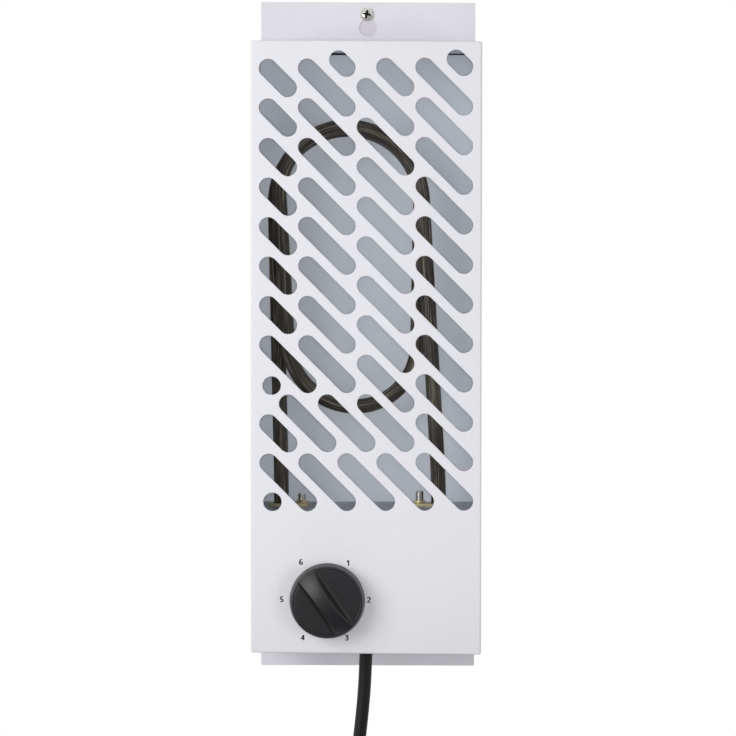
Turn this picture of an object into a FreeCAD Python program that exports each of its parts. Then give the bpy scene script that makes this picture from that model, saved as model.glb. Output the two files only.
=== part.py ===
import FreeCAD, Part
import math
import os
import re
import Sketcher

# A wall-mounted frost protection heater: a folded white sheet box with a slotted front, a looped
# tubular element behind the slots, and a control box with a dial thermostat below it.
# Frame: the origin is the centre of the keyhole on the wall, +Z is up and the front faces -Y.
Vector = FreeCAD.Vector
Rotation = FreeCAD.Rotation
doc = FreeCAD.newDocument("frost_heater")
sheet = doc.addObject("Spreadsheet::Sheet", "Sizes")

sizes = {
    # Front cover
    "cover_width": 130,
    "cover_height": 344,
    "cover_depth": 70,
    "cover_drop": 16,
    "cover_gauge": 1,
    "bend_radius": 2,
    "rear_gap": 1.2,
    # Slots of the front
    "column_pitch": 11,
    "row_pitch": 11.1,
    "grid_drop": 14.7,
    "slot_width": 10.3,
    "slot_chords": 8,
    # Wall plate and its keyhole
    "plate_gauge": 1,
    "plate_gap": 0.5,
    "plate_rise": 14.5,
    "plate_foot": 17.5,
    "keyhole_diameter": 10.5,
    "keyhole_slot": 6,
    "hang_rise": 8.2,
    "lug_gauge": 1,
    "lug_depth": 13,
    "lug_height": 10,
    "upper_lug_drop": 6,
    "lower_lug_rise": 38,
    # Hanging screw
    "hang_head": 8.4,
    "hang_head_height": 2.6,
    "hang_neck": 5.5,
    "hang_thread": 4.2,
    "hang_reach": 28,
    "hang_seat": 0.1,
    "hang_neck_end": 0.3,
    "hang_edge": 0.4,
    "hang_shoulder": 0.85,
    "hang_shoulder_width": 0.72,
    "hang_crown_width": 0.3,
    # Screws that hold the cover
    "cover_screw": 4,
    "cover_screw_head": 7,
    "cover_screw_head_height": 1.5,
    "cover_screw_tip": 3,
    "cover_screw_crown": 0.56,
    "head_edge": 0.5,
    # Shelf between the warm chamber and the control box
    "shelf_gauge": 1.2,
    "shelf_gap": 0.3,
    "shelf_lip": 8,
    "shelf_flange": 12,
    # Tubular heating element
    "element_diameter": 8.5,
    "back_left": -54.7,
    "back_right": 31.7,
    "front_left": -55.3,
    "front_right": 29.5,
    "loop_top_drop": 45.3,
    "lower_left": -44.4,
    "lower_left_drop": 204.6,
    "lower_right": 28.4,
    "lower_right_drop": 207.5,
    "left_foot": -50,
    "right_foot": 41.5,
    "foot_rise": 14,
    "element_tail": 12,
    "back_layer": 22,
    "front_layer": 37,
    "foot_layer": 31,
    "leg_gap": 0.3,
    "bend_share": 0.499,
    "element_sides": 16,
    # Ceramic beads and terminal pins of the element
    "bead_diameter": 7.6,
    "bead_length": 6,
    "bead_straight": 0.7,
    "bead_tip_width": 0.76,
    "pin_diameter": 3.2,
    "pin_gap": 0.2,
    "pin_length": 12,
    "tab_width": 6.3,
    "tab_gauge": 0.8,
    "tab_length": 8,
    # Foot flanges of the element
    "flange_gauge": 1.5,
    "flange_margin": 2.6,
    "flange_waist": 0.98,
    "flange_end_width": 0.72,
    "stud_pitch": 12,
    "stud_diameter": 4.2,
    "stud_rise": 9,
    "stud_chamfer": 0.5,
    "stud_head": 7,
    "stud_head_height": 2.2,
    "nut_flats": 6,
    "nut_height": 2.6,
    "thread_gap": 0.2,
    "turned_sides": 12,
    # Thermostat behind the dial
    "dial_left": 21.6,
    "dial_rise": 29.9,
    "bracket_width": 38,
    "bracket_height": 26,
    "bracket_gauge": 1.2,
    "thermostat_width": 36,
    "thermostat_height": 34,
    "thermostat_depth": 28,
    "boss_diameter": 18,
    "boss_length": 4.8,
    "spindle_diameter": 6,
    "spindle_gap": 0.3,
    "spindle_seat": 8,
    "spindle_flat": 1.5,
    "panel_hole": 9,
    "thermostat_screw": 4,
    "thermostat_screw_pitch": 28,
    "thermostat_screw_head": 7,
    "thermostat_screw_head_height": 2.2,
    "thermostat_screw_tip": 0.8,
    "thermostat_screw_crown": 0.6,
    "thermostat_tab_pitch": 16,
    # Dial knob
    "knob_diameter": 42.5,
    "knob_gap": 1,
    "knob_skirt": 12,
    "knob_wall": 2,
    "knob_rim": 1.6,
    "rim_curve": 0.3,
    "hub_diameter": 12,
    "hub_recess": 1.5,
    "grip_width": 13.6,
    "grip_crest": 8,
    "grip_rise": 7,
    "grip_end_rise": 0.6,
    "grip_inset": 1.2,
    "pointer_angle": -35,
    "spring_width": 3.6,
    "spring_gauge": 0.7,
    "spring_length": 7,
    # Capillary and bulb
    "capillary_diameter": 1.8,
    "capillary_drop": 8,
    "capillary_reach": 10,
    "capillary_inset": 16,
    "bulb_diameter": 6,
    "bulb_tip": 2.4,
    "bulb_tip_width": 0.6,
    "bulb_length": 52,
    "bulb_left": 40,
    "bulb_rise": 11,
    "bulb_standoff": 8,
    "clip_gauge": 0.8,
    "clip_width": 6,
    "clip_gap": 0.2,
    "clip_inset": 12,
    "clip_foot_width": 0.7,
    # Over-temperature cut-out under the shelf
    "cutout_left": 8,
    "cutout_depth": 20,
    "cutout_diameter": 16,
    "cutout_height": 9,
    "cutout_flange_length": 31,
    "cutout_flange_width": 9,
    "cutout_flange_gauge": 0.8,
    "cutout_screw": 3,
    "cutout_screw_pitch": 24,
    "cutout_screw_head": 5.5,
    "cutout_screw_head_height": 1.8,
    "cutout_tab_pitch": 12,
    # Terminal block on the wall plate
    "block_left": 12,
    "block_length": 18,
    "block_depth": 16,
    "block_drop": 22,
    "pole_pitch": 11,
    "pole_bore": 5.2,
    "insert_gap": 0.15,
    "insert_bore": 3,
    "turret_width": 8,
    "turret_height": 3,
    "clamp_screw": 3,
    "clamp_inset": 4.5,
    "clamp_sink": 1,
    "block_screw": 3.5,
    "block_screw_head": 6,
    "block_screw_head_height": 2,
    # Earth stud on the wall plate
    "earth_inset": 13.5,
    "earth_rise": 20,
    "earth_stud": 4,
    "earth_stud_length": 9,
    "ring_diameter": 8,
    "ring_gauge": 1,
    # Bends of the wires in the control box
    "wire_bend_share": 0.45,
    "wire_sides": 6,
    "wire_chords": 3,
    "supply_lead_in": 8,
    "live_aside": 7,
    "live_rise": 5,
    "switch_wire_back": 4,
    "switch_wire_drop": 7,
    "element_wire_drop": 13,
    "element_wire_aside": 8,
    "element_wire_back": 5,
    "left_hook": 10,
    "right_hook": 14,
    "right_hook_back": 11,
    "wire_seat": 0.3,
    # Cord bushing in the floor of the cover
    "cord_depth": 35,
    "gland_hole": 13,
    "gland_flange": 16,
    "gland_flange_height": 2.8,
    "gland_fit": 0.2,
    "gland_lip": 14.6,
    "gland_lip_height": 2,
    "gland_top": 11,
    "gland_length": 10,
    "gland_chamfer": 1,
    "cord_gap": 0.25,
    # Mains cord, coil, tie and plug
    "cord_diameter": 7.5,
    "core_diameter": 2.4,
    "core_spread": 1.75,
    "core_gap": 0.1,
    "sheath_rise": 15,
    "cord_bend_share": 0.45,
    "cord_sides": 8,
    "coil_inner": 32,
    "coil_pitch": 8,
    "tie_width": 12,
    "tie_gauge": 1.2,
    "tie_slack": 0.3,
    "plug_diameter": 37,
    "plug_body": 34,
    "plug_shoulder": 6,
    "plug_neck": 28,
    "plug_neck_start": 9.5,
    "plug_neck_end": 15,
    "plug_notch_width": 8,
    "plug_notch_depth": 3,
    "plug_notch_share": 0.7,
    "plug_crown": 0.6,
    "plug_pin_diameter": 4.8,
    "plug_pin_length": 19,
    "plug_pin_pitch": 19,
    "earth_strip_width": 5,
    "earth_strip_gauge": 1,
    "earth_strip_share": 0.6,
}
for row, (name, size) in enumerate(sizes.items(), 1):
    sheet.set(f"A{row}", name)
    sheet.set(f"B{row}", str(size))
    sheet.setAlias(f"B{row}", name)
doc.recompute()

nodes = []


def number(text):
    """Value of an expression in the sheet's words."""
    return float(sheet.evalExpression(text))


def bind(thing, prop, text):
    """Tie a property to an expression in the sheet's words."""
    tied = re.sub(r"[a-z_]+", lambda m: "Sizes." + m.group() if m.group() in sizes else m.group(), text)
    thing.setExpression(prop, tied)


def spot(x, y, z):
    """Point whose coordinates are expressions."""
    return Vector(number(x), number(y), number(z))


def new_body(label):
    body = doc.addObject("PartDesign::Body", label)
    body.Label = label
    return body


def sketch_on(body, role, offset="0"):
    """Sketch on one of the body's origin planes, moved along the plane's normal."""
    sketch = body.newObject("Sketcher::SketchObject", "Sketch")
    plane = next(f for f in body.Origin.OriginFeatures if f.Role == role)
    sketch.AttachmentSupport = [(plane, "")]
    sketch.MapMode = "FlatFace"
    bind(sketch, "AttachmentOffset.Base.z", offset)
    return sketch


def fix(sketch, line, point, across, up):
    """Dimension one sketch point from the sketch's origin."""
    for kind, text in (("DistanceX", across), ("DistanceY", up)):
        place = sketch.addConstraint(Sketcher.Constraint(kind, -1, 1, line, point, number(text)))
        bind(sketch, f"Constraints[{place}]", text)


def outline(sketch, corners):
    """Closed outline of straight lines through the corners."""
    spots = [Vector(number(x), number(y), 0) for x, y in corners]
    ends = spots[1:] + spots[:1]
    lines = [sketch.addGeometry(Part.LineSegment(a, b)) for a, b in zip(spots, ends)]
    for line, following in zip(lines, lines[1:] + lines[:1]):
        sketch.addConstraint(Sketcher.Constraint("Coincident", line, 2, following, 1))
    for line, (x, y) in zip(lines, corners):
        fix(sketch, line, 1, x, y)


def rectangle(sketch, left, right, bottom, top):
    outline(sketch, [(left, bottom), (right, bottom), (right, top), (left, top)])


def circle(sketch, x, y, radius):
    ring = sketch.addGeometry(
        Part.Circle(Vector(number(x), number(y), 0), Vector(0, 0, 1), number(radius))
    )
    fix(sketch, ring, 3, x, y)
    place = sketch.addConstraint(Sketcher.Constraint("Radius", ring, number(radius)))
    bind(sketch, f"Constraints[{place}]", radius)


def pad(body, sketch, length, reverse=False, both=False):
    feature = body.newObject("PartDesign::Pad", "Pad")
    feature.Profile = sketch
    bind(feature, "Length", length)
    feature.Reversed = reverse
    feature.Midplane = both
    return feature


def pocket(body, sketch, length, reverse=False, both=False):
    """Cut that has to take material away."""
    doc.recompute()
    before = body.Shape.Volume
    feature = body.newObject("PartDesign::Pocket", "Pocket")
    feature.Profile = sketch
    bind(feature, "Length", length)
    feature.Reversed = reverse
    feature.Midplane = both
    doc.recompute()
    if body.Shape.Volume > before - 0.01:
        raise RuntimeError(f"a cut in {body.Label} took nothing away")
    return feature


def fillet(body, base, chosen, radius):
    """Round the edges of base that the test chooses."""
    doc.recompute()
    names = [f"Edge{i}" for i, edge in enumerate(base.Shape.Edges, 1) if chosen(edge)]
    feature = body.newObject("PartDesign::Fillet", "Fillet")
    feature.Base = (base, names)
    bind(feature, "Radius", radius)
    return feature


def turned(label, role, corners):
    """Turned piece: a half profile of radius and height, revolved about the upright of its sketch."""
    body = new_body(label)
    sketch = sketch_on(body, role)
    outline(sketch, corners)
    feature = body.newObject("PartDesign::Revolution", "Revolution")
    feature.Profile = sketch
    feature.ReferenceAxis = (sketch, ["V_Axis"])
    feature.Angle = 360
    return body


def put(thing, x="0", y="0", z="0"):
    """Place a piece that is drawn about its own centre."""
    for axis, text in zip("xyz", (x, y, z)):
        bind(thing, f"Placement.Base.{axis}", text)
    nodes.append(thing)
    return thing


def group(label, pattern, places):
    """Copies of one pattern as separate solids of one node."""
    doc.recompute()
    copies = []
    for place in places:
        copy = pattern.Shape.copy()
        copy.Placement = place.multiply(copy.Placement)
        copies.append(copy)
    return formed(label, Part.makeCompound(copies))


def formed(label, shape):
    """Node whose shape is worked out from the sheet."""
    node = doc.addObject("Part::Feature", label)
    node.Label = label
    node.Shape = shape
    nodes.append(node)
    return node


def at(x, y, z, axis=Vector(0, 0, 1), angle=0):
    return FreeCAD.Placement(spot(x, y, z), Rotation(axis, angle))


def unit(vector):
    return Vector(vector).normalize()


def tangent_arc(start, heading, end):
    """Arc that leaves start along heading and stops at end."""
    chord = end - start
    along = unit(chord)
    bulge = unit(heading - along * heading.dot(along))
    rise = chord.Length / 2 * math.tan(heading.getAngle(chord) / 2)
    return Part.Arc(start, start + chord / 2 + bulge * rise, end).toShape()


def rounded_path(points, share):
    """Straight runs joined by tangent arcs that take the given share of the shorter run."""
    edges = []
    radii = []
    here = points[0]
    for before, corner, after in zip(points, points[1:], points[2:]):
        back = before - corner
        ahead = after - corner
        reach = share * min(back.Length, ahead.Length)
        start = corner + unit(back) * reach
        end = corner + unit(ahead) * reach
        if (start - here).Length > 1e-6:
            edges.append(Part.LineSegment(here, start).toShape())
        edges.append(tangent_arc(start, unit(corner - start), end))
        radii.append(reach * math.tan(back.getAngle(ahead) / 2))
        here = end
    edges.append(Part.LineSegment(here, points[-1]).toShape())
    return edges, radii


def facet_ring(centre, heading, diameter, sides):
    """Corners of a regular section across heading."""
    aside = heading.cross(Vector(0, 1, 0))
    if aside.Length < 0.1:
        aside = heading.cross(Vector(1, 0, 0))
    turns = [2 * math.pi * (k + 0.5) / sides for k in range(sides)]
    across = unit(aside) * (diameter / 2)
    upward = unit(heading.cross(aside)) * (diameter / 2)
    return [centre + across * math.cos(turn) + upward * math.sin(turn) for turn in turns]


def tube(edges, diameter, sides=None):
    """Rod of round or faceted section along a path of lines and arcs."""
    path = Part.Wire(edges)
    first = edges[0]
    start = first.valueAt(first.FirstParameter)
    heading = first.tangentAt(first.FirstParameter)
    if sides:
        corners = facet_ring(start, heading, diameter, sides)
        ring = Part.makePolygon(corners + corners[:1])
    else:
        ring = Part.Wire(Part.makeCircle(diameter / 2, start, heading))
    rod = path.makePipeShell([ring], True, False)
    expected = Part.Face(ring).Area * path.Length
    if abs(rod.Volume / expected - 1) > 0.01:
        raise RuntimeError(f"a tube has {rod.Volume:.1f} of the expected {expected:.1f}")
    return rod


def sewn(faces):
    """Solid inside a closed set of flat faces, each given by its corners."""
    sides = [Part.Face(Part.makePolygon(corners + corners[:1])) for corners in faces]
    solid = Part.makeSolid(Part.makeShell(sides))
    if solid.Volume < 0:
        solid.reverse()
    return solid


def wire(edges, diameter, sides, chords):
    """Faceted rod whose bends are cut into chords and mitred."""
    points = [edges[0].valueAt(edges[0].FirstParameter)]
    for edge in edges:
        steps = chords if isinstance(edge.Curve, Part.Circle) else 1
        span = edge.LastParameter - edge.FirstParameter
        points += [edge.valueAt(edge.FirstParameter + span * (k + 1) / steps) for k in range(steps)]
    headings = [unit(b - a) for a, b in zip(points, points[1:])]
    ring = facet_ring(points[0], headings[0], diameter, sides)
    rings = [ring]
    for point, heading, following in zip(points[1:], headings, headings[1:] + headings[-1:]):
        mitre = heading + following
        ring = [c + heading * ((point - c).dot(mitre) / heading.dot(mitre)) for c in ring]
        rings.append(ring)
    faces = [rings[0], rings[-1]]
    for near, far in zip(rings, rings[1:]):
        faces += [[near[k - 1], near[k], far[k], far[k - 1]] for k in range(sides)]
    return sewn(faces)


def faceted(label, upright, corners):
    """Small turned piece with flat sides: a profile of radius and height about the upright axis."""
    radii = [number(radius) for radius, height in corners]
    heights = [number(height) for radius, height in corners]
    sides = round(number("turned_sides"))
    turns = [2 * math.pi * k / sides for k in range(sides)]
    rings = [
        [Vector(r * math.cos(turn), r * math.sin(turn), h) for turn in turns]
        for r, h in zip(radii, heights)
    ]
    faces = []
    for i, j in zip(range(len(rings)), [*range(1, len(rings)), 0]):
        near = rings[i]
        far = rings[j]
        if radii[i] > 0 and radii[j] > 0:
            faces += [[near[k - 1], near[k], far[k], far[k - 1]] for k in range(sides)]
        elif radii[i] > 0 or radii[j] > 0:
            faces.append(near if radii[i] > 0 else far)
    pattern = doc.addObject("Part::Feature", label)
    pattern.Label = label
    pattern.Shape = sewn(faces)
    pattern.Placement.Rotation = Rotation(Vector(0, 0, 1), upright)
    return pattern


# Places that follow from the sizes
cover_top = "(-cover_drop)"
cover_floor = "(-cover_drop - cover_height)"
plate_half = "(cover_width / 2 - cover_gauge - plate_gap)"
panel_inside = "(-cover_depth + cover_gauge)"
LAST_COLUMN = 10
LAST_ROW = 22
slots_foot = f"(-cover_drop - grid_drop - {LAST_ROW} * row_pitch - slot_width / 2)"
shelf_top = slots_foot
shelf_under = f"({shelf_top} - shelf_gauge)"
upper_lug = f"({cover_top} - upper_lug_drop)"
lower_lug = f"({cover_floor} + lower_lug_rise)"
lug_middle = "(-plate_gauge - lug_depth / 2)"
dial_height = f"({cover_floor} + dial_rise)"

# Wall plate: flat sheet with a keyhole at the top and four lugs bent forward for the cover's screws
wall_plate = new_body("wall_plate")
blank = sketch_on(wall_plate, "XZ_Plane")
rectangle(blank, f"-{plate_half}", plate_half, f"{cover_floor} - plate_foot", "plate_rise")
pad(wall_plate, blank, "plate_gauge")
lugs = sketch_on(wall_plate, "XZ_Plane", "plate_gauge")
lug_sides = [
    (f"{plate_half} - lug_gauge", plate_half),
    (f"-{plate_half}", f"lug_gauge - {plate_half}"),
]
for middle in (upper_lug, lower_lug):
    for inner, outer in lug_sides:
        rectangle(lugs, inner, outer, f"{middle} - lug_height / 2", f"{middle} + lug_height / 2")
pad(wall_plate, lugs, "lug_depth")
keyhole = sketch_on(wall_plate, "XZ_Plane")
circle(keyhole, "0", "0", "keyhole_diameter / 2")
pocket(wall_plate, keyhole, "plate_gauge", reverse=True)
hang_slot = sketch_on(wall_plate, "XZ_Plane")
rectangle(hang_slot, "-keyhole_slot / 2", "keyhole_slot / 2", "0", "hang_rise")
pocket(wall_plate, hang_slot, "plate_gauge", reverse=True)
hang_end = sketch_on(wall_plate, "XZ_Plane")
circle(hang_end, "0", "hang_rise", "keyhole_slot / 2")
pocket(wall_plate, hang_end, "plate_gauge", reverse=True)
lug_holes = sketch_on(wall_plate, "YZ_Plane")
for middle in (upper_lug, lower_lug):
    circle(lug_holes, lug_middle, middle, "cover_screw / 2 + thread_gap")
pocket(wall_plate, lug_holes, "cover_width", both=True)
put(wall_plate)

# Hanging screw: pan head, neck in the keyhole's slot, threaded shank into the wall
hang_seat = "(-plate_gauge - hang_seat)"
hanging_screw = turned("hanging_screw", "XY_Plane", [
    ("0", "hang_reach"),
    ("hang_thread / 4", "hang_reach"),
    ("hang_thread / 2", "hang_reach - hang_thread"),
    ("hang_thread / 2", "hang_neck_end"),
    ("hang_neck / 2", "hang_neck_end"),
    ("hang_neck / 2", hang_seat),
    ("hang_head / 2", hang_seat),
    ("hang_head / 2", f"{hang_seat} - hang_head_height * hang_edge"),
    ("hang_head / 2 * hang_shoulder_width", f"{hang_seat} - hang_head_height * hang_shoulder"),
    ("hang_head / 2 * hang_crown_width", f"{hang_seat} - hang_head_height"),
    ("0", f"{hang_seat} - hang_head_height"),
])
put(hanging_screw, z="hang_rise")

# Front cover: folded sheet box, open to the wall. Its floor and roof stop short of the wall plate.
cover_blank = new_body("cover_blank")
face = sketch_on(cover_blank, "XZ_Plane")
rectangle(face, "-cover_width / 2", "cover_width / 2", cover_floor, cover_top)
cover_pad = pad(cover_blank, face, "cover_depth")
front = -number("cover_depth")
fillet(
    cover_blank,
    cover_pad,
    lambda edge: all(abs(v.Y - front) < 1e-6 for v in edge.Vertexes),
    "bend_radius",
)
hollow = sketch_on(cover_blank, "XZ_Plane")
rectangle(
    hollow,
    "cover_gauge - cover_width / 2",
    "cover_width / 2 - cover_gauge",
    f"{cover_floor} + cover_gauge",
    f"{cover_top} - cover_gauge",
)
cover_hollow = pocket(cover_blank, hollow, "cover_depth - cover_gauge", reverse=True)
inside = number(panel_inside)
fillet(
    cover_blank,
    cover_hollow,
    lambda edge: all(abs(v.Y - inside) < 1e-6 for v in edge.Vertexes),
    "bend_radius - cover_gauge",
)
plate_room = sketch_on(cover_blank, "XZ_Plane")
rectangle(
    plate_room,
    "cover_gauge - cover_width / 2",
    "cover_width / 2 - cover_gauge",
    cover_floor,
    cover_top,
)
pocket(cover_blank, plate_room, "plate_gauge + rear_gap", reverse=True)
dial_holes = sketch_on(cover_blank, "XZ_Plane")
circle(dial_holes, "-dial_left", dial_height, "panel_hole / 2")
for side in ("-", "+"):
    circle(
        dial_holes,
        f"-dial_left {side} thermostat_screw_pitch / 2",
        dial_height,
        "thermostat_screw / 2 + thread_gap",
    )
pocket(cover_blank, dial_holes, "cover_depth", reverse=True)
side_holes = sketch_on(cover_blank, "YZ_Plane")
for middle in (upper_lug, lower_lug):
    circle(side_holes, lug_middle, middle, "cover_screw / 2 + thread_gap")
pocket(cover_blank, side_holes, "cover_width", both=True)
gland_opening = sketch_on(cover_blank, "XY_Plane", cover_floor)
circle(gland_opening, "0", "-cord_depth", "gland_hole / 2")
pocket(cover_blank, gland_opening, "cover_gauge", reverse=True)

# Slots of the front on an even grid, all slanting down to the right, as (column, row) ends.
# Columns of long slots alternate by half a step, and single slots and dots fill the lower left.
slots = [(0, 2 * k, 1, 2 * k + 1) for k in range(7)]
slots += [(2, 2 * k, 4, 2 * k + 2) for k in range(8)]
slots += [(5, 2 * k + 1, 7, 2 * k + 3) for k in range(9)]
slots += [(8, 2 * k, 10, 2 * k + 2) for k in range(10)]
slots += [(2 * k, 20, 2 * k + 2, 22) for k in range(5)]
slots += [(0, 14, 2, 16), (1, 17, 3, 19), (3, 17, 5, 19)]
slots += [(0, 18, 1, 19), (6, 0, 7, 1)]
slots += [(3.6, -0.4, 4, 0), (9.6, -0.4, 10, 0)]
slots += [(0.2, 16, 0.2, 16), (0.2, 22, 0.2, 22)]


def grid_point(column, row):
    x = f"{column - LAST_COLUMN / 2} * column_pitch"
    z = f"{cover_top} - grid_drop - {row} * row_pitch"
    return spot(x, f"{panel_inside} + cover_gauge", z)


def slot_cutter(left, top, right, bottom):
    """Prism through the panel between two grid points, its round ends cut into chords."""
    start = grid_point(left, top)
    end = grid_point(right, bottom)
    apart = (end - start).Length > 1e-6
    along = unit(end - start) if apart else Vector(1, 0, 0)
    aside = Vector(along.z, 0, -along.x)
    chords = round(number("slot_chords"))
    turns = [math.pi * k / chords for k in range(chords + apart)]
    bulge = [(aside * math.cos(t) + along * math.sin(t)) * number("slot_width / 2") for t in turns]
    corners = [end + b for b in bulge] + [start - b for b in bulge]
    rim = Part.makePolygon(corners + corners[:1])
    return Part.Face(rim).extrude(spot("0", "-3 * cover_gauge", "0"))


slot_cutters = doc.addObject("Part::Feature", "slot_cutters")
slot_cutters.Shape = Part.makeCompound([slot_cutter(*ends) for ends in slots])
front_cover = doc.addObject("Part::Cut", "front_cover")
front_cover.Label = "front_cover"
front_cover.Base = cover_blank
front_cover.Tool = slot_cutters
nodes.append(front_cover)

# Cover screws: two on each side, through the cover's side walls into the plate's lugs
cover_screw_pattern = faceted("cover_screw_pattern", Vector(0, 1, 0), [
    ("0", "cover_screw_head_height"),
    ("cover_screw_head / 2 * cover_screw_crown", "cover_screw_head_height"),
    ("cover_screw_head / 2", "cover_screw_head_height * head_edge"),
    ("cover_screw_head / 2", "0"),
    ("cover_screw / 2", "0"),
    ("cover_screw / 2", "-cover_gauge - plate_gap - lug_gauge - cover_screw_tip"),
    ("0", "-cover_gauge - plate_gap - lug_gauge - cover_screw_tip"),
])
group("cover_screws", cover_screw_pattern, [
    at(f"{side} * cover_width / 2", lug_middle, middle, Vector(0, 0, 1), -90 * side)
    for side in (-1, 1)
    for middle in (upper_lug, lower_lug)
])

# Shelf: folded sheet with a lip behind the panel and a flange spot-welded to the wall plate
shelf_front = f"({panel_inside} + shelf_gap)"
element_shelf = new_body("element_shelf")
fold = sketch_on(element_shelf, "YZ_Plane")
outline(fold, [
    ("-plate_gauge", shelf_top),
    (shelf_front, shelf_top),
    (shelf_front, f"{shelf_top} - shelf_lip"),
    (f"{shelf_front} + shelf_gauge", f"{shelf_top} - shelf_lip"),
    (f"{shelf_front} + shelf_gauge", shelf_under),
    ("-plate_gauge - shelf_gauge", shelf_under),
    ("-plate_gauge - shelf_gauge", f"{shelf_top} - shelf_flange"),
    ("-plate_gauge", f"{shelf_top} - shelf_flange"),
])
pad(element_shelf, fold, f"2 * {plate_half}", both=True)
shelf_holes = sketch_on(element_shelf, "XY_Plane", shelf_under)
for foot, inward in (("left_foot", "+"), ("right_foot", "-")):
    circle(shelf_holes, foot, "-foot_layer", "element_diameter / 2 + leg_gap")
    circle(shelf_holes, f"{foot} {inward} stud_pitch", "-foot_layer", "stud_diameter / 2 + thread_gap")
for side in ("-", "+"):
    circle(
        shelf_holes,
        f"-cutout_left {side} cutout_screw_pitch / 2",
        "-cutout_depth",
        "cutout_screw / 2 + thread_gap",
    )
pocket(element_shelf, shelf_holes, "shelf_gauge", reverse=True)
put(element_shelf)

# Heating element: one rod that rises from the left foot, makes a turn and a half in two layers and
# comes down to the right foot. Its bends take half of each run, so they close into round ends.
element_end = f"({shelf_under} - element_tail)"
foot_bend = f"({shelf_top} + foot_rise)"
loop_top = f"({cover_top} - loop_top_drop)"
element_route = [
    spot("left_foot", "-foot_layer", element_end),
    spot("left_foot", "-foot_layer", foot_bend),
    spot("back_left", "-back_layer", loop_top),
    spot("back_right", "-back_layer", loop_top),
    spot("lower_right", "-back_layer", f"{cover_top} - lower_right_drop"),
    spot("lower_left", "-front_layer", f"{cover_top} - lower_left_drop"),
    spot("front_left", "-front_layer", loop_top),
    spot("front_right", "-front_layer", loop_top),
    spot("right_foot", "-foot_layer", foot_bend),
    spot("right_foot", "-foot_layer", element_end),
]
element_path, element_radii = rounded_path(element_route, number("bend_share"))
print("element bends", [round(r, 1) for r in element_radii])
element_sides = round(number("element_sides"))
formed("heating_element", tube(element_path, number("element_diameter"), element_sides))
feet = ("left_foot", "right_foot")

# Ceramic beads that close the ends of the element
bead_pattern = faceted("bead_pattern", Vector(0, 0, 1), [
    ("pin_diameter / 2 + pin_gap", "0"),
    ("bead_diameter / 2", "0"),
    ("bead_diameter / 2", "-bead_length * bead_straight"),
    ("bead_diameter / 2 * bead_tip_width", "-bead_length"),
    ("pin_diameter / 2 + pin_gap", "-bead_length"),
])
group("element_beads", bead_pattern, [at(foot, "-foot_layer", element_end) for foot in feet])

# Terminal pins of the element, each with a flat tab for a push-on terminal
pin_pattern = new_body("pin_pattern")
pin_round = sketch_on(pin_pattern, "XY_Plane")
circle(pin_round, "0", "0", "pin_diameter / 2")
pad(pin_pattern, pin_round, "pin_length", reverse=True)
pin_tab = sketch_on(pin_pattern, "XY_Plane", "-pin_length")
rectangle(pin_tab, "-tab_gauge / 2", "tab_gauge / 2", "-tab_width / 2", "tab_width / 2")
pad(pin_pattern, pin_tab, "tab_length", reverse=True)
group("element_pins", pin_pattern, [at(foot, "-foot_layer", element_end) for foot in feet])

# Foot flanges: oval plates round the legs, each held down by one stud
flange_pattern = new_body("flange_pattern")
flange_radius = "(element_diameter / 2 + leg_gap + flange_margin)"
flange_leg = sketch_on(flange_pattern, "XY_Plane")
circle(flange_leg, "0", "0", flange_radius)
pad(flange_pattern, flange_leg, "flange_gauge")
flange_bridge = sketch_on(flange_pattern, "XY_Plane")
outline(flange_bridge, [
    ("0", f"-{flange_radius} * flange_waist"),
    ("stud_pitch", f"-{flange_radius} * flange_end_width"),
    ("stud_pitch", f"{flange_radius} * flange_end_width"),
    ("0", f"{flange_radius} * flange_waist"),
])
pad(flange_pattern, flange_bridge, "flange_gauge")
flange_end = sketch_on(flange_pattern, "XY_Plane")
circle(flange_end, "stud_pitch", "0", f"{flange_radius} * flange_end_width")
pad(flange_pattern, flange_end, "flange_gauge")
flange_holes = sketch_on(flange_pattern, "XY_Plane")
circle(flange_holes, "0", "0", "element_diameter / 2 + leg_gap")
circle(flange_holes, "stud_pitch", "0", "stud_diameter / 2 + thread_gap")
pocket(flange_pattern, flange_holes, "flange_gauge", reverse=True)
flange_places = [
    at("left_foot", "-foot_layer", shelf_top),
    at("right_foot", "-foot_layer", shelf_top, angle=180),
]
group("element_flanges", flange_pattern, flange_places)

# Studs through the shelf and the flanges, with their heads below
stud_pattern = faceted("stud_pattern", Vector(0, 0, 1), [
    ("0", "-shelf_gauge - stud_head_height"),
    ("stud_head / 2", "-shelf_gauge - stud_head_height"),
    ("stud_head / 2", "-shelf_gauge"),
    ("stud_diameter / 2", "-shelf_gauge"),
    ("stud_diameter / 2", "stud_rise - stud_chamfer"),
    ("stud_diameter / 2 - stud_chamfer", "stud_rise"),
    ("0", "stud_rise"),
])
stud_places = [
    at("left_foot + stud_pitch", "-foot_layer", shelf_top),
    at("right_foot - stud_pitch", "-foot_layer", shelf_top),
]
group("flange_studs", stud_pattern, stud_places)

# Brass nuts on the studs
nut_pattern = new_body("nut_pattern")
hexagon = sketch_on(nut_pattern, "XY_Plane", "flange_gauge")
outline(hexagon, [
    (f"nut_flats / sqrt(3) * cos({60 * k} deg)", f"nut_flats / sqrt(3) * sin({60 * k} deg)")
    for k in range(6)
])
pad(nut_pattern, hexagon, "nut_height")
nut_bore = sketch_on(nut_pattern, "XY_Plane", "flange_gauge")
circle(nut_bore, "0", "0", "stud_diameter / 2 + thread_gap / 2")
pocket(nut_pattern, nut_bore, "nut_height", reverse=True)
group("flange_nuts", nut_pattern, stud_places)

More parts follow.
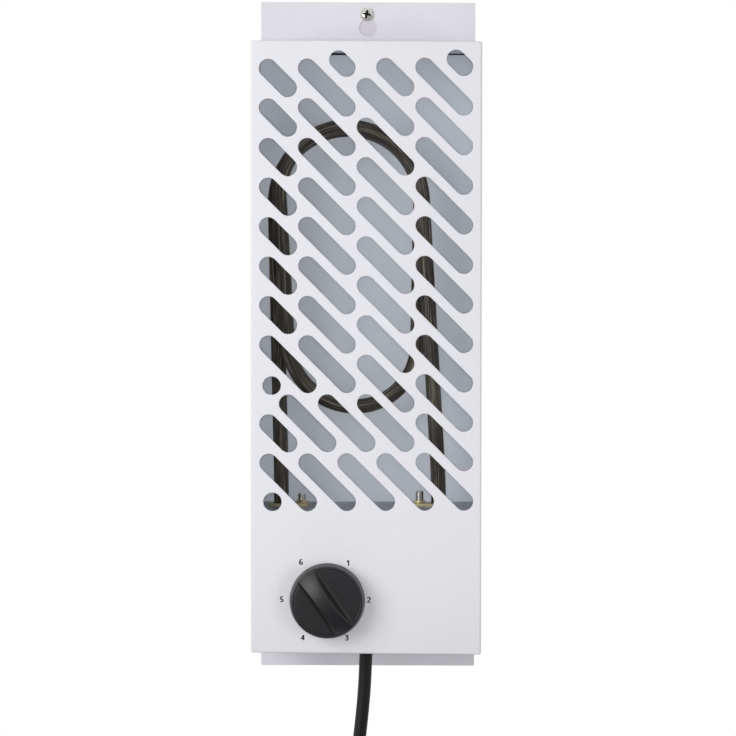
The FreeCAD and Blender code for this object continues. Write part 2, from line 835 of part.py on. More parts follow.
# Thermostat: steel bracket against the panel, moulded body behind it and two rear tabs
bracket_back = f"({panel_inside} + bracket_gauge)"
body_front = f"({bracket_back} + boss_length)"
body_back = f"({body_front} + thermostat_depth)"
thermostat_bracket = new_body("thermostat_bracket")
bracket_face = sketch_on(thermostat_bracket, "XZ_Plane", f"-{panel_inside}")
rectangle(
    bracket_face,
    "-bracket_width / 2",
    "bracket_width / 2",
    "-bracket_height / 2",
    "bracket_height / 2",
)
pad(thermostat_bracket, bracket_face, "bracket_gauge", reverse=True)
bracket_holes = sketch_on(thermostat_bracket, "XZ_Plane", f"-{panel_inside}")
circle(bracket_holes, "0", "0", "spindle_diameter / 2 + spindle_gap")
for side in ("-", ""):
    circle(
        bracket_holes,
        f"{side}thermostat_screw_pitch / 2",
        "0",
        "thermostat_screw / 2 + thread_gap",
    )
pocket(thermostat_bracket, bracket_holes, "bracket_gauge")
put(thermostat_bracket, "-dial_left", "0", dial_height)

thermostat_body = new_body("thermostat_body")
boss = sketch_on(thermostat_body, "XZ_Plane", f"-{bracket_back}")
circle(boss, "0", "0", "boss_diameter / 2")
pad(thermostat_body, boss, "boss_length", reverse=True)
case = sketch_on(thermostat_body, "XZ_Plane", f"-{body_front}")
half_wide = "thermostat_width / 2"
half_high = "thermostat_height / 2"
outline(case, [
    (f"-{half_wide}", f"-{half_high} + boss_length"),
    (f"-{half_wide} + boss_length", f"-{half_high}"),
    (f"{half_wide} - boss_length", f"-{half_high}"),
    (half_wide, f"-{half_high} + boss_length"),
    (half_wide, f"{half_high} - boss_length"),
    (f"{half_wide} - boss_length", half_high),
    (f"-{half_wide} + boss_length", half_high),
    (f"-{half_wide}", f"{half_high} - boss_length"),
])
pad(thermostat_body, case, "thermostat_depth", reverse=True)
seat = sketch_on(thermostat_body, "XZ_Plane", f"-{bracket_back}")
circle(seat, "0", "0", "spindle_diameter / 2 + spindle_gap")
pocket(thermostat_body, seat, "spindle_seat")
put(thermostat_body, "-dial_left", "0", dial_height)

tab_pattern = new_body("tab_pattern")
tab_face = sketch_on(tab_pattern, "XZ_Plane")
rectangle(tab_face, "-tab_gauge / 2", "tab_gauge / 2", "-tab_width / 2", "tab_width / 2")
pad(tab_pattern, tab_face, "tab_length", reverse=True)
group("thermostat_tabs", tab_pattern, [
    at(f"-dial_left {side} thermostat_tab_pitch / 2", body_back, dial_height)
    for side in ("-", "+")
])

# Thermostat screws, hidden by the knob
thermostat_screw_pattern = faceted("thermostat_screw_pattern", Vector(0, 1, 0), [
    ("0", "-thermostat_screw_head_height"),
    ("thermostat_screw_head / 2 * thermostat_screw_crown", "-thermostat_screw_head_height"),
    ("thermostat_screw_head / 2", "-thermostat_screw_head_height * head_edge"),
    ("thermostat_screw_head / 2", "0"),
    ("thermostat_screw / 2", "0"),
    ("thermostat_screw / 2", "cover_gauge + bracket_gauge + thermostat_screw_tip"),
    ("0", "cover_gauge + bracket_gauge + thermostat_screw_tip"),
])
group("thermostat_screws", thermostat_screw_pattern, [
    at(f"-dial_left {side} thermostat_screw_pitch / 2", "-cover_depth", dial_height)
    for side in ("-", "+")
])

# Knob: hollow moulded skirt with a hub, and an arched grip bar with sloping sides across its front
knob_back = "(-cover_depth - knob_gap)"
knob_face = f"({knob_back} - knob_skirt)"
knob_inside = f"({knob_face} + knob_wall)"
hub_bore = "(spindle_diameter / 2 + spindle_gap / 2)"
hub_end = f"({knob_back} - hub_recess)"
knob_disc = turned("knob_disc", "XY_Plane", [
    ("0", knob_face),
    ("knob_diameter / 2 - knob_rim", knob_face),
    ("knob_diameter / 2 - knob_rim * rim_curve", f"{knob_face} + knob_rim * rim_curve"),
    ("knob_diameter / 2", f"{knob_face} + knob_rim"),
    ("knob_diameter / 2", knob_back),
    ("knob_diameter / 2 - knob_wall", knob_back),
    ("knob_diameter / 2 - knob_wall", knob_inside),
    ("hub_diameter / 2", knob_inside),
    ("hub_diameter / 2", hub_end),
    (hub_bore, hub_end),
    (hub_bore, knob_inside),
    ("0", knob_inside),
])
grip_foot = f"({knob_face} + knob_wall / 2)"
grip_slope = "((grip_width - grip_crest) / 2 / grip_rise)"
grip_prism = new_body("grip_prism")
grip_section = sketch_on(grip_prism, "XY_Plane")
outline(grip_section, [
    (f"-grip_width / 2 - {grip_slope} * knob_wall / 2", grip_foot),
    (f"grip_width / 2 + {grip_slope} * knob_wall / 2", grip_foot),
    ("grip_crest / 2", f"{knob_face} - grip_rise"),
    ("-grip_crest / 2", f"{knob_face} - grip_rise"),
])
pad(grip_prism, grip_section, "knob_diameter", both=True)
grip_arch = doc.addObject("Part::Cylinder", "grip_arch")
half_span = "(knob_diameter / 2 - grip_inset)"
sag = "(grip_rise - grip_end_rise)"
arch_radius = f"(({half_span}^2 + {sag}^2) / (2 * {sag}))"
bind(grip_arch, "Radius", arch_radius)
bind(grip_arch, "Height", "knob_diameter")
grip_arch.Placement.Rotation = Rotation(Vector(0, 1, 0), 90)
bind(grip_arch, "Placement.Base.x", "-knob_diameter / 2")
bind(grip_arch, "Placement.Base.y", f"{knob_face} - grip_rise + {arch_radius}")
grip_limit = doc.addObject("Part::Cylinder", "grip_limit")
bind(grip_limit, "Radius", half_span)
bind(grip_limit, "Height", "knob_skirt + grip_rise")
grip_limit.Placement.Rotation = Rotation(Vector(1, 0, 0), 90)
bind(grip_limit, "Placement.Base.y", knob_back)
grip_bar = doc.addObject("Part::MultiCommon", "grip_bar")
grip_bar.Shapes = [grip_prism, grip_arch, grip_limit]
control_knob = doc.addObject("Part::Fuse", "control_knob")
control_knob.Label = "control_knob"
control_knob.Base = knob_disc
control_knob.Tool = grip_bar
control_knob.Placement.Rotation = Rotation(Vector(0, 1, 0), number("pointer_angle"))
put(control_knob, "-dial_left", "0", dial_height)

# Spindle of the thermostat, flattened where the knob is pushed on, and the leaf spring on its flat
spindle_back = f"({bracket_back} + spindle_seat - spindle_gap)"
spindle_front = f"({knob_inside} + spindle_gap)"
thermostat_spindle = new_body("thermostat_spindle")
shaft = sketch_on(thermostat_spindle, "XZ_Plane", f"-{spindle_back}")
circle(shaft, "0", "0", "spindle_diameter / 2")
pad(thermostat_spindle, shaft, f"{spindle_back} - {spindle_front}")
flat = sketch_on(thermostat_spindle, "XZ_Plane", f"-{spindle_front}")
rectangle(
    flat,
    "-spindle_diameter / 2",
    "spindle_diameter / 2",
    "spindle_diameter / 2 - spindle_flat",
    "spindle_diameter",
)
pocket(thermostat_spindle, flat, "spring_length + hub_recess")
thermostat_spindle.Placement.Rotation = Rotation(Vector(0, 1, 0), number("pointer_angle"))
put(thermostat_spindle, "-dial_left", "0", dial_height)

knob_spring = new_body("knob_spring")
leaf = sketch_on(knob_spring, "XZ_Plane", f"-{spindle_front}")
rectangle(
    leaf,
    "-spring_width / 2",
    "spring_width / 2",
    "spindle_diameter / 2 - spindle_flat",
    "spindle_diameter / 2 - spindle_flat + spring_gauge",
)
pad(knob_spring, leaf, "spring_length", reverse=True)
knob_spring.Placement.Rotation = Rotation(Vector(0, 1, 0), number("pointer_angle"))
put(knob_spring, "-dial_left", "0", dial_height)

# Capillary and sensing bulb low on the wall plate, with the clips that hold the bulb
bulb_height = f"({cover_floor} + bulb_rise)"
bulb_depth = "(-plate_gauge - bulb_standoff)"
capillary_start = "(-dial_left - thermostat_width / 2)"
capillary_bend = f"({capillary_start} - capillary_reach)"
capillary_depth = f"({body_front} + capillary_inset)"
capillary_height = f"({dial_height} - capillary_drop)"
wire_facets = round(number("wire_sides")), round(number("wire_chords"))
capillary_path, _ = rounded_path([
    spot(capillary_start, capillary_depth, capillary_height),
    spot(capillary_bend, capillary_depth, capillary_height),
    spot(capillary_bend, bulb_depth, bulb_height),
    spot("-bulb_left", bulb_depth, bulb_height),
], number("wire_bend_share"))
formed("capillary_tube", wire(capillary_path, number("capillary_diameter"), *wire_facets))
sensing_bulb = turned("sensing_bulb", "XZ_Plane", [
    ("0", "0"),
    ("bulb_diameter / 2 * bulb_tip_width", "0"),
    ("bulb_diameter / 2", "bulb_tip"),
    ("bulb_diameter / 2", "bulb_length - bulb_tip"),
    ("bulb_diameter / 2 * bulb_tip_width", "bulb_length"),
    ("0", "bulb_length"),
])
sensing_bulb.Placement.Rotation = Rotation(Vector(0, 1, 0), 90)
put(sensing_bulb, "-bulb_left", bulb_depth, bulb_height)
clip_pattern = new_body("clip_pattern")
clip_outer = "(bulb_diameter / 2 + clip_gap + clip_gauge)"
clip_foot = sketch_on(clip_pattern, "YZ_Plane")
rectangle(
    clip_foot,
    "0",
    "bulb_standoff",
    f"-{clip_outer} * clip_foot_width",
    f"{clip_outer} * clip_foot_width",
)
pad(clip_pattern, clip_foot, "clip_width", both=True)
clip_ring = sketch_on(clip_pattern, "YZ_Plane")
circle(clip_ring, "0", "0", clip_outer)
pad(clip_pattern, clip_ring, "clip_width", both=True)
clip_bore = sketch_on(clip_pattern, "YZ_Plane")
circle(clip_bore, "0", "0", "bulb_diameter / 2 + clip_gap")
pocket(clip_pattern, clip_bore, "clip_width", both=True)
group("bulb_clips", clip_pattern, [
    at("clip_inset - bulb_left", bulb_depth, bulb_height),
    at("bulb_length - clip_inset - bulb_left", bulb_depth, bulb_height),
])

# Over-temperature cut-out: disc thermostat screwed to the underside of the shelf
thermal_cutout = new_body("thermal_cutout")
ear = sketch_on(thermal_cutout, "XY_Plane")
rectangle(
    ear,
    "-cutout_flange_length / 2",
    "cutout_flange_length / 2",
    "-cutout_flange_width / 2",
    "cutout_flange_width / 2",
)
pad(thermal_cutout, ear, "cutout_flange_gauge", reverse=True)
can = sketch_on(thermal_cutout, "XY_Plane")
circle(can, "0", "0", "cutout_diameter / 2")
pad(thermal_cutout, can, "cutout_height", reverse=True)
ear_holes = sketch_on(thermal_cutout, "XY_Plane")
for side in ("-", ""):
    circle(ear_holes, f"{side}cutout_screw_pitch / 2", "0", "cutout_screw / 2 + thread_gap")
pocket(thermal_cutout, ear_holes, "cutout_flange_gauge")
put(thermal_cutout, "-cutout_left", "-cutout_depth", shelf_under)
cutout_tab_top = f"({shelf_under} - cutout_height)"
cutout_poles = [f"-cutout_left {side} cutout_tab_pitch / 2" for side in ("-", "+")]
group("cutout_tabs", tab_pattern, [
    at(pole, "-cutout_depth", cutout_tab_top, Vector(1, 0, 0), -90) for pole in cutout_poles
])
cutout_screw_pattern = faceted("cutout_screw_pattern", Vector(0, 0, 1), [
    ("0", "-cutout_flange_gauge - cutout_screw_head_height"),
    ("cutout_screw_head / 2", "-cutout_flange_gauge - cutout_screw_head_height"),
    ("cutout_screw_head / 2", "-cutout_flange_gauge"),
    ("cutout_screw / 2", "-cutout_flange_gauge"),
    ("cutout_screw / 2", "shelf_gauge"),
    ("0", "shelf_gauge"),
])
group("cutout_screws", cutout_screw_pattern, [
    at(f"-cutout_left {side} cutout_screw_pitch / 2", "-cutout_depth", shelf_under)
    for side in ("-", "+")
])

# Terminal block: moulded strip of three poles on the wall plate, with brass inserts and clamp screws
block_top = f"({shelf_top} - block_drop)"
block_middle = "(block_left + block_length / 2)"
pole_depth = "(-plate_gauge - block_depth / 2)"
block_face = "(-plate_gauge - block_depth)"
poles = [f"({block_top} - {k + 0.5} * pole_pitch)" for k in range(3)]
terminal_block = new_body("terminal_block")
strip = sketch_on(terminal_block, "XZ_Plane", "plate_gauge")
rectangle(strip, "block_left", "block_left + block_length", f"{block_top} - 3 * pole_pitch", block_top)
pad(terminal_block, strip, "block_depth")
turrets = sketch_on(terminal_block, "XZ_Plane", f"-{block_face}")
for pole in poles:
    rectangle(
        turrets,
        "block_left",
        "block_left + block_length",
        f"{pole} - turret_width / 2",
        f"{pole} + turret_width / 2",
    )
pad(terminal_block, turrets, "turret_height")
bores = sketch_on(terminal_block, "YZ_Plane", "block_left")
for pole in poles:
    circle(bores, pole_depth, pole, "pole_bore / 2")
pocket(terminal_block, bores, "block_length", reverse=True)
wells = sketch_on(terminal_block, "XZ_Plane", f"turret_height - {block_face}")
clamp_columns = ("block_left + clamp_inset", "block_left + block_length - clamp_inset")
for pole in poles:
    for column in clamp_columns:
        circle(wells, column, pole, "clamp_screw / 2 + thread_gap")
pocket(terminal_block, wells, "turret_height + block_depth / 2")
fixing = sketch_on(terminal_block, "XZ_Plane", f"-{block_face}")
block_screw_height = f"({block_top} - pole_pitch)"
circle(fixing, block_middle, block_screw_height, "block_screw / 2 + thread_gap")
pocket(terminal_block, fixing, "block_depth")
head_room = sketch_on(terminal_block, "XZ_Plane", f"turret_height - {block_face}")
circle(head_room, block_middle, block_screw_height, "block_screw_head / 2 + thread_gap")
pocket(terminal_block, head_room, "turret_height")
put(terminal_block)

insert_outer = "(pole_bore / 2 - insert_gap)"
insert_pattern = faceted("insert_pattern", Vector(0, 0, 1), [
    ("insert_bore / 2", "0"),
    (insert_outer, "0"),
    (insert_outer, "block_length"),
    ("insert_bore / 2", "block_length"),
])
group("terminal_inserts", insert_pattern, [
    at("block_left", pole_depth, pole, Vector(0, 1, 0), 90) for pole in poles
])
clamp_length = f"(turret_height + block_depth / 2 - clamp_sink - {insert_outer} - insert_gap)"
clamp_front = f"({block_face} - turret_height + clamp_sink)"
clamp_pattern = faceted("clamp_pattern", Vector(0, 1, 0), [
    ("0", "0"),
    ("clamp_screw / 2", "0"),
    ("clamp_screw / 2", clamp_length),
    ("0", clamp_length),
])
group("clamp_screws", clamp_pattern, [
    at(column, clamp_front, pole)
    for pole in poles
    for column in clamp_columns
])
block_screw = turned("block_screw", "XY_Plane", [
    ("0", "-block_screw_head_height"),
    ("block_screw_head / 2", "-block_screw_head_height"),
    ("block_screw_head / 2", "0"),
    ("block_screw / 2", "0"),
    ("block_screw / 2", "block_depth"),
    ("0", "block_depth"),
])
put(block_screw, block_middle, block_face, block_screw_height)

# Earth stud welded to the wall plate, with a ring terminal and a nut
earth_height = f"({cover_floor} + earth_rise)"
earth_side = f"({plate_half} - earth_inset)"
earth_stud = turned("earth_stud", "XY_Plane", [
    ("0", "-plate_gauge"),
    ("earth_stud / 2", "-plate_gauge"),
    ("earth_stud / 2", "-plate_gauge - earth_stud_length"),
    ("0", "-plate_gauge - earth_stud_length"),
])
put(earth_stud, earth_side, "0", earth_height)
earth_ring = turned("earth_ring", "XY_Plane", [
    ("earth_stud / 2 + thread_gap", "-plate_gauge"),
    ("ring_diameter / 2", "-plate_gauge"),
    ("ring_diameter / 2", "-plate_gauge - ring_gauge"),
    ("earth_stud / 2 + thread_gap", "-plate_gauge - ring_gauge"),
])
put(earth_ring, earth_side, "0", earth_height)
earth_nut = new_body("earth_nut")
earth_hexagon = sketch_on(earth_nut, "XZ_Plane", "plate_gauge + ring_gauge")
outline(earth_hexagon, [
    (f"nut_flats / sqrt(3) * cos({60 * k} deg)", f"nut_flats / sqrt(3) * sin({60 * k} deg)")
    for k in range(6)
])
pad(earth_nut, earth_hexagon, "nut_height")
earth_bore = sketch_on(earth_nut, "XZ_Plane", "plate_gauge + ring_gauge")
circle(earth_bore, "0", "0", "earth_stud / 2 + thread_gap / 2")
pocket(earth_nut, earth_bore, "nut_height", reverse=True)
put(earth_nut, earth_side, "0", earth_height)

# Cord bushing: flange under the cover's floor, neck in the hole and a snap lip above
cord_bore = "(cord_diameter / 2 + cord_gap)"
cable_gland = turned("cable_gland", "XZ_Plane", [
    (cord_bore, "-gland_flange_height"),
    ("gland_flange / 2 - gland_chamfer", "-gland_flange_height"),
    ("gland_flange / 2", "gland_chamfer - gland_flange_height"),
    ("gland_flange / 2", "0"),
    ("gland_hole / 2 - gland_fit", "0"),
    ("gland_hole / 2 - gland_fit", "cover_gauge + gland_fit"),
    ("gland_lip / 2", "cover_gauge + gland_fit"),
    ("gland_lip / 2", "cover_gauge + gland_fit + gland_lip_height"),
    ("gland_top / 2", "gland_length"),
    (cord_bore, "gland_length"),
])
put(cable_gland, "0", "-cord_depth", cover_floor)

# Wires of the control box, each along its own route
sheath_end = f"({cover_floor} + sheath_rise)"
element_tab = f"({element_end} - pin_length - tab_length)"
thermostat_tab = f"({body_back} + tab_length)"
cutout_tab = f"({cutout_tab_top} - tab_length)"
block_right = "(block_left + block_length)"
right_tab = "(-dial_left + thermostat_tab_pitch / 2)"
left_tab = "(-dial_left - thermostat_tab_pitch / 2)"
upper_run = f"({block_top} + live_rise)"
live_side = f"({block_right} + live_aside)"
switch_back = "(-cutout_depth + switch_wire_back)"
switch_run = f"({cutout_tab} - switch_wire_drop)"
element_run = f"({cutout_tab} - element_wire_drop)"
left_hook_side = "(left_foot + element_wire_aside)"
left_hook_foot = f"({element_tab} - left_hook)"
right_hook_foot = f"({element_tab} - right_hook)"
earth_run = "(-plate_gauge - core_diameter / 2 - wire_seat)"


CORE_TURN = 90


def core_start(turn):
    """Where a core leaves the cut end of the cord's sheath."""
    x = f"core_spread * cos({turn} deg)"
    y = f"core_spread * sin({turn} deg) - cord_depth"
    return x, y


def supply_core(third, pole):
    x, y = core_start(CORE_TURN + 120 * third)
    return [
        (x, y, f"{sheath_end} + core_gap"),
        (x, y, pole),
        ("block_left - supply_lead_in", pole_depth, pole),
        ("block_left", pole_depth, pole),
    ]


wire_routes = {
    "supply_live": supply_core(1, poles[0]),
    "supply_neutral": supply_core(2, poles[1]),
    "supply_earth": supply_core(0, poles[2]),
    "live_wire": [
        (block_right, pole_depth, poles[0]),
        (live_side, pole_depth, poles[0]),
        (live_side, pole_depth, upper_run),
        (right_tab, pole_depth, upper_run),
        (right_tab, pole_depth, dial_height),
        (right_tab, thermostat_tab, dial_height),
    ],
    "thermostat_wire": [
        (left_tab, thermostat_tab, dial_height),
        (left_tab, switch_back, dial_height),
        (left_tab, switch_back, switch_run),
        (cutout_poles[0], "-cutout_depth", switch_run),
        (cutout_poles[0], "-cutout_depth", cutout_tab),
    ],
    "cutout_wire": [
        (cutout_poles[1], "-cutout_depth", cutout_tab),
        (cutout_poles[1], "-cutout_depth", element_run),
        (left_hook_side, "-foot_layer + element_wire_back", element_run),
        (left_hook_side, "-foot_layer", left_hook_foot),
        ("left_foot", "-foot_layer", left_hook_foot),
        ("left_foot", "-foot_layer", element_tab),
    ],
    "neutral_wire": [
        (block_right, pole_depth, poles[1]),
        ("right_foot", pole_depth, poles[1]),
        ("right_foot", "-foot_layer + right_hook_back", right_hook_foot),
        ("right_foot", "-foot_layer", right_hook_foot),
        ("right_foot", "-foot_layer", element_tab),
    ],
    "earth_wire": [
        (block_right, pole_depth, poles[2]),
        (earth_side, pole_depth, poles[2]),
        (earth_side, earth_run, poles[2]),
        (earth_side, earth_run, f"{earth_height} + ring_diameter / 2"),
    ],
}
for label, route in wire_routes.items():
    wire_path, _ = rounded_path([spot(*point) for point in route], number("wire_bend_share"))
    formed(label, wire(wire_path, number("core_diameter"), *wire_facets))

# Mains cord: out of the bushing, straight down with a slight drift to the left, then to the coil.
# The points are chosen by hand, as (right of the bushing, below the cover's floor).
cord_route = [(0, -15), (-0.4, 16), (-3.2, 48), (-7.5, 81), (-28.7, 102.2)]
cord_points = [spot(str(x), "-cord_depth", f"{cover_floor} - {drop}") for x, drop in cord_route]
cord_points[0].z = number(sheath_end)
cord_path, cord_radii = rounded_path(cord_points, number("cord_bend_share"))
print("cord radii", [round(r, 1) for r in cord_radii])
cord_diameter = number("cord_diameter")
cord_sides = round(number("cord_sides"))
formed("mains_cord", tube(cord_path, cord_diameter, cord_sides))

# Coil: the put-away length in two layers. It spirals in, climbs a layer in one half turn and
# spirals out again. Its half turns meet on a slanted line through the coil's centre.
HALF_TURNS = 10
CLIMB = 4
inward = unit(cord_points[-1] - cord_points[-2])
split = Vector(inward.z, 0, -inward.x)
outward = -inward
coil_start = cord_points[-1] + inward * cord_diameter
step = number("coil_pitch")
inner = number("coil_inner")


def coil_reach(k):
    """Distance of the k-th meeting point from the coil's centre."""
    steps = (CLIMB - k + 1) // 2 if k < CLIMB else (k - CLIMB) // 2
    return inner + step * steps


coil_centre = coil_start - split * coil_reach(0)
layers = [Vector(0, 0, 0), Vector(0, -step, 0)]


def meeting_point(k):
    return coil_centre + split * coil_reach(k) * (-1) ** k + layers[k > CLIMB]


coil_path = [Part.LineSegment(cord_points[-1], coil_start).toShape()]
for k in range(HALF_TURNS):
    start = meeting_point(k)
    end = meeting_point(k + 1)
    heading = inward * (-1) ** k
    middle = (start + end) / 2 + heading * ((end - start).Length / 2)
    coil_path.append(tangent_arc(start, heading, middle))
    coil_path.append(tangent_arc(middle, unit(end - start), end))
coil_tail = coil_centre + Vector(-coil_reach(HALF_TURNS), 0, 0) + layers[1]
coil_path.append(tangent_arc(meeting_point(HALF_TURNS), inward, coil_tail))
coil_end = coil_tail - Vector(0, 0, cord_diameter)
coil_path.append(Part.LineSegment(coil_tail, coil_end).toShape())
formed("cord_coil", tube(coil_path, cord_diameter, cord_sides))


def least_gap(edges, diameter):
    """Least clear distance between stretches of a path that are not neighbours along it."""
    line = Part.Wire(edges)
    points = line.discretize(int(line.Length / 2))
    spacing = line.Length / (len(points) - 1)
    apart = int(4 * diameter / spacing)
    least = min(
        (a - b).Length for i, a in enumerate(points) for b in points[i + apart:]
    )
    return least - diameter


print("coil gap", round(least_gap(coil_path, cord_diameter), 2))
cord_length = Part.Wire(cord_path).Length + Part.Wire(coil_path).Length
print("cord length", round(cord_length, 1))

# Tie: strap round the bundle of turns, opposite the side where the half turns meet
tie_slack = number("tie_slack") + cord_diameter / 2
half_tie = number("tie_width") / 2
tie_inner = math.sqrt((inner + step / 2) ** 2 - (half_tie + step / 2) ** 2) - tie_slack
tie_outer = inner + step / 2 + 2 * step + tie_slack
gauge = number("tie_gauge")


def tie_block(grow):
    """Block across the bundle, along (outward, -Y, along the turn)."""
    block = Part.makeBox(
        tie_outer - tie_inner + 2 * grow,
        step + 2 * tie_slack + 2 * grow,
        2 * half_tie,
        Vector(tie_inner - grow, -step - tie_slack - grow, -half_tie),
    )
    edges = [e for e in block.Edges if abs(e.tangentAt(0).z) > 0.9]
    return block.makeFillet(gauge / 2 + grow, edges)


tie = tie_block(gauge).cut(tie_block(0))
tie_turn = math.degrees(math.atan2(-outward.z, outward.x))
tie.Placement = FreeCAD.Placement(coil_centre, Rotation(Vector(0, 1, 0), tie_turn))
formed("coil_tie", tie)

# Plug: round moulded body with a tapered neck, two round pins and earth strips in side notches
plug_face = "(plug_neck + plug_shoulder + plug_body)"
plug_blank = turned("plug_blank", "XZ_Plane", [
    ("0", "0"),
    ("plug_neck_start / 2", "0"),
    ("plug_neck_end / 2", "-plug_neck"),
    ("plug_diameter / 2 - plug_notch_depth", "-plug_neck - plug_shoulder * plug_crown"),
    ("plug_diameter / 2", "-plug_neck - plug_shoulder"),
    ("plug_diameter / 2", f"-{plug_face}"),
    ("0", f"-{plug_face}"),
])
notches = sketch_on(plug_blank, "XY_Plane", f"-{plug_face}")
for side in ("-", ""):
    near = f"{side}(plug_diameter / 2 - plug_notch_depth)"
    far = f"{side}(plug_diameter / 2 + plug_notch_depth)"
    rectangle(notches, "-plug_notch_width / 2", "plug_notch_width / 2", near, far)
pocket(plug_blank, notches, "plug_body * plug_notch_share", reverse=True)
plug_place = FreeCAD.Placement(coil_end, Rotation())
group("mains_plug", plug_blank, [plug_place])
plug_pin_pattern = faceted("plug_pin_pattern", Vector(0, 0, 1), [
    ("0", f"-{plug_face}"),
    ("plug_pin_diameter / 2", f"-{plug_face}"),
    ("plug_pin_diameter / 2", f"-{plug_face} - plug_pin_length + plug_pin_diameter / 3"),
    ("plug_pin_diameter / 4", f"-{plug_face} - plug_pin_length"),
    ("0", f"-{plug_face} - plug_pin_length"),
])
group("plug_pins", plug_pin_pattern, [
    plug_place.multiply(at(f"{side}plug_pin_pitch / 2", "0", "0")) for side in ("-", "")
])
strip_pattern = new_body("strip_pattern")
strip_face = sketch_on(strip_pattern, "XY_Plane", f"-{plug_face}")
for side in ("-", ""):
    near = f"{side}(plug_diameter / 2 - plug_notch_depth)"
    far = f"{side}(plug_diameter / 2 - plug_notch_depth + earth_strip_gauge)"
    rectangle(strip_face, "-earth_strip_width / 2", "earth_strip_width / 2", near, far)
pad(strip_pattern, strip_face, "plug_body * earth_strip_share")
strip_pattern.AllowCompound = True
group("plug_earth_strips", strip_pattern, [plug_place])

# Every object has to be sound before anything is written
doc.recompute()
for thing in doc.Objects:
    if "Invalid" in thing.State or "Error" in thing.State:
        raise RuntimeError(f"{thing.Label} failed: {thing.State}")
os.makedirs("parts", exist_ok=True)
for node in nodes:
    if node.Shape.isNull() or not node.Shape.isValid():
        raise RuntimeError(f"{node.Label} has no sound shape")
    node.Shape.exportStep(f"parts/{node.Label}.step")
print(len(nodes), "nodes")
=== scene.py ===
import math

import bmesh
import bpy
from mathutils import Euler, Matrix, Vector
from mathutils.geometry import delaunay_2d_cdt


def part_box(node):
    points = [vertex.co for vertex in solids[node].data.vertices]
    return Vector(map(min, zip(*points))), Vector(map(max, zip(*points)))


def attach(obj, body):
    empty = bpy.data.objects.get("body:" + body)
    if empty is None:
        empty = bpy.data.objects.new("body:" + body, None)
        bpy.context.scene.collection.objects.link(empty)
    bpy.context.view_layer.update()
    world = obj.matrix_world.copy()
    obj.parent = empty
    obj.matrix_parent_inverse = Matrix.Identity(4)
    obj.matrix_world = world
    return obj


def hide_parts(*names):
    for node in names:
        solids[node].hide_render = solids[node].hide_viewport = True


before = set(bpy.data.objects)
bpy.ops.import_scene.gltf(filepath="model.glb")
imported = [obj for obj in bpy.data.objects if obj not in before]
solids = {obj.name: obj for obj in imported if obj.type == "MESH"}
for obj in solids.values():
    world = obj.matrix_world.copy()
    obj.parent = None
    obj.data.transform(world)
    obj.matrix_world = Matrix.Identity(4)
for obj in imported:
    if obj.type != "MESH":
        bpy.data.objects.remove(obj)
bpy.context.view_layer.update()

MM = 0.001


# Wall plate: a flat steel sheet with a white powder coat, hung on one screw by the keyhole in its
# top overhang, whose cut edge falls a little to the right. Four small lugs along its sides are bent
# forward and take the cover's screws.
def srgb(red, green, blue):
    """Colour as seen on a screen, 0 to 255, turned into the linear values that shaders use."""
    levels = [c / 255 for c in (red, green, blue)]
    return [c / 12.92 if c <= 0.04045 else ((c + 0.055) / 1.055) ** 2.4 for c in levels]


def by_noise(tree, noise, stops, span, gloss, bump, relief):
    """Let one noise drive a surface's colour stops, its gloss over a span and its relief in mm."""
    shader = tree.nodes["Principled BSDF"]
    shades = tree.nodes.new("ShaderNodeValToRGB")
    ramp = shades.color_ramp
    for element, (position, colour) in zip(ramp.elements, (stops[0], stops[-1])):
        element.position = position
        element.color = [*colour, 1]
    for position, colour in stops[1:-1]:
        ramp.elements.new(position).color = [*colour, 1]
    tree.links.new(noise.outputs["Fac"], shades.inputs["Fac"])
    tree.links.new(shades.outputs["Color"], shader.inputs["Base Color"])
    shine = tree.nodes.new("ShaderNodeMapRange")
    for socket, value in zip(("From Min", "From Max", "To Min", "To Max"), (*span, *gloss)):
        shine.inputs[socket].default_value = value
    tree.links.new(noise.outputs["Fac"], shine.inputs["Value"])
    tree.links.new(shine.outputs["Result"], shader.inputs["Roughness"])
    raised = tree.nodes.new("ShaderNodeBump")
    raised.inputs["Strength"].default_value = bump
    raised.inputs["Distance"].default_value = relief * MM
    tree.links.new(noise.outputs["Fac"], raised.inputs["Height"])
    tree.links.new(raised.outputs["Normal"], shader.inputs["Normal"])


def finish(name, colour, rough, metal=0.0, grain=900, tone=0.04, rough_tone=0.06, bump=0.1,
           relief=0.03, specular=0.5):
    """Surface with a fine mottle in its colour and gloss, and a relief in mm, all from noise."""
    material = bpy.data.materials.new(name)
    material.use_nodes = True
    tree = material.node_tree
    shader = tree.nodes["Principled BSDF"]
    shader.inputs["Metallic"].default_value = metal
    shader.inputs["Specular IOR Level"].default_value = specular
    place = tree.nodes.new("ShaderNodeTexCoord")
    mottle = tree.nodes.new("ShaderNodeTexNoise")
    mottle.inputs["Scale"].default_value = grain
    mottle.inputs["Detail"].default_value = 5
    tree.links.new(place.outputs["Object"], mottle.inputs["Vector"])
    low, high = 0.3, 0.7
    darker, lighter = [c * (1 - tone) for c in colour], [min(1, c * (1 + tone)) for c in colour]
    gloss = (max(0.02, rough - rough_tone), min(1, rough + rough_tone))
    by_noise(tree, mottle, [(low, darker), (high, lighter)], (low, high), gloss, bump, relief)
    return material


def dress(node, material):
    """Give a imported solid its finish."""
    mesh = solids[node].data
    mesh.materials.clear()
    mesh.materials.append(material)


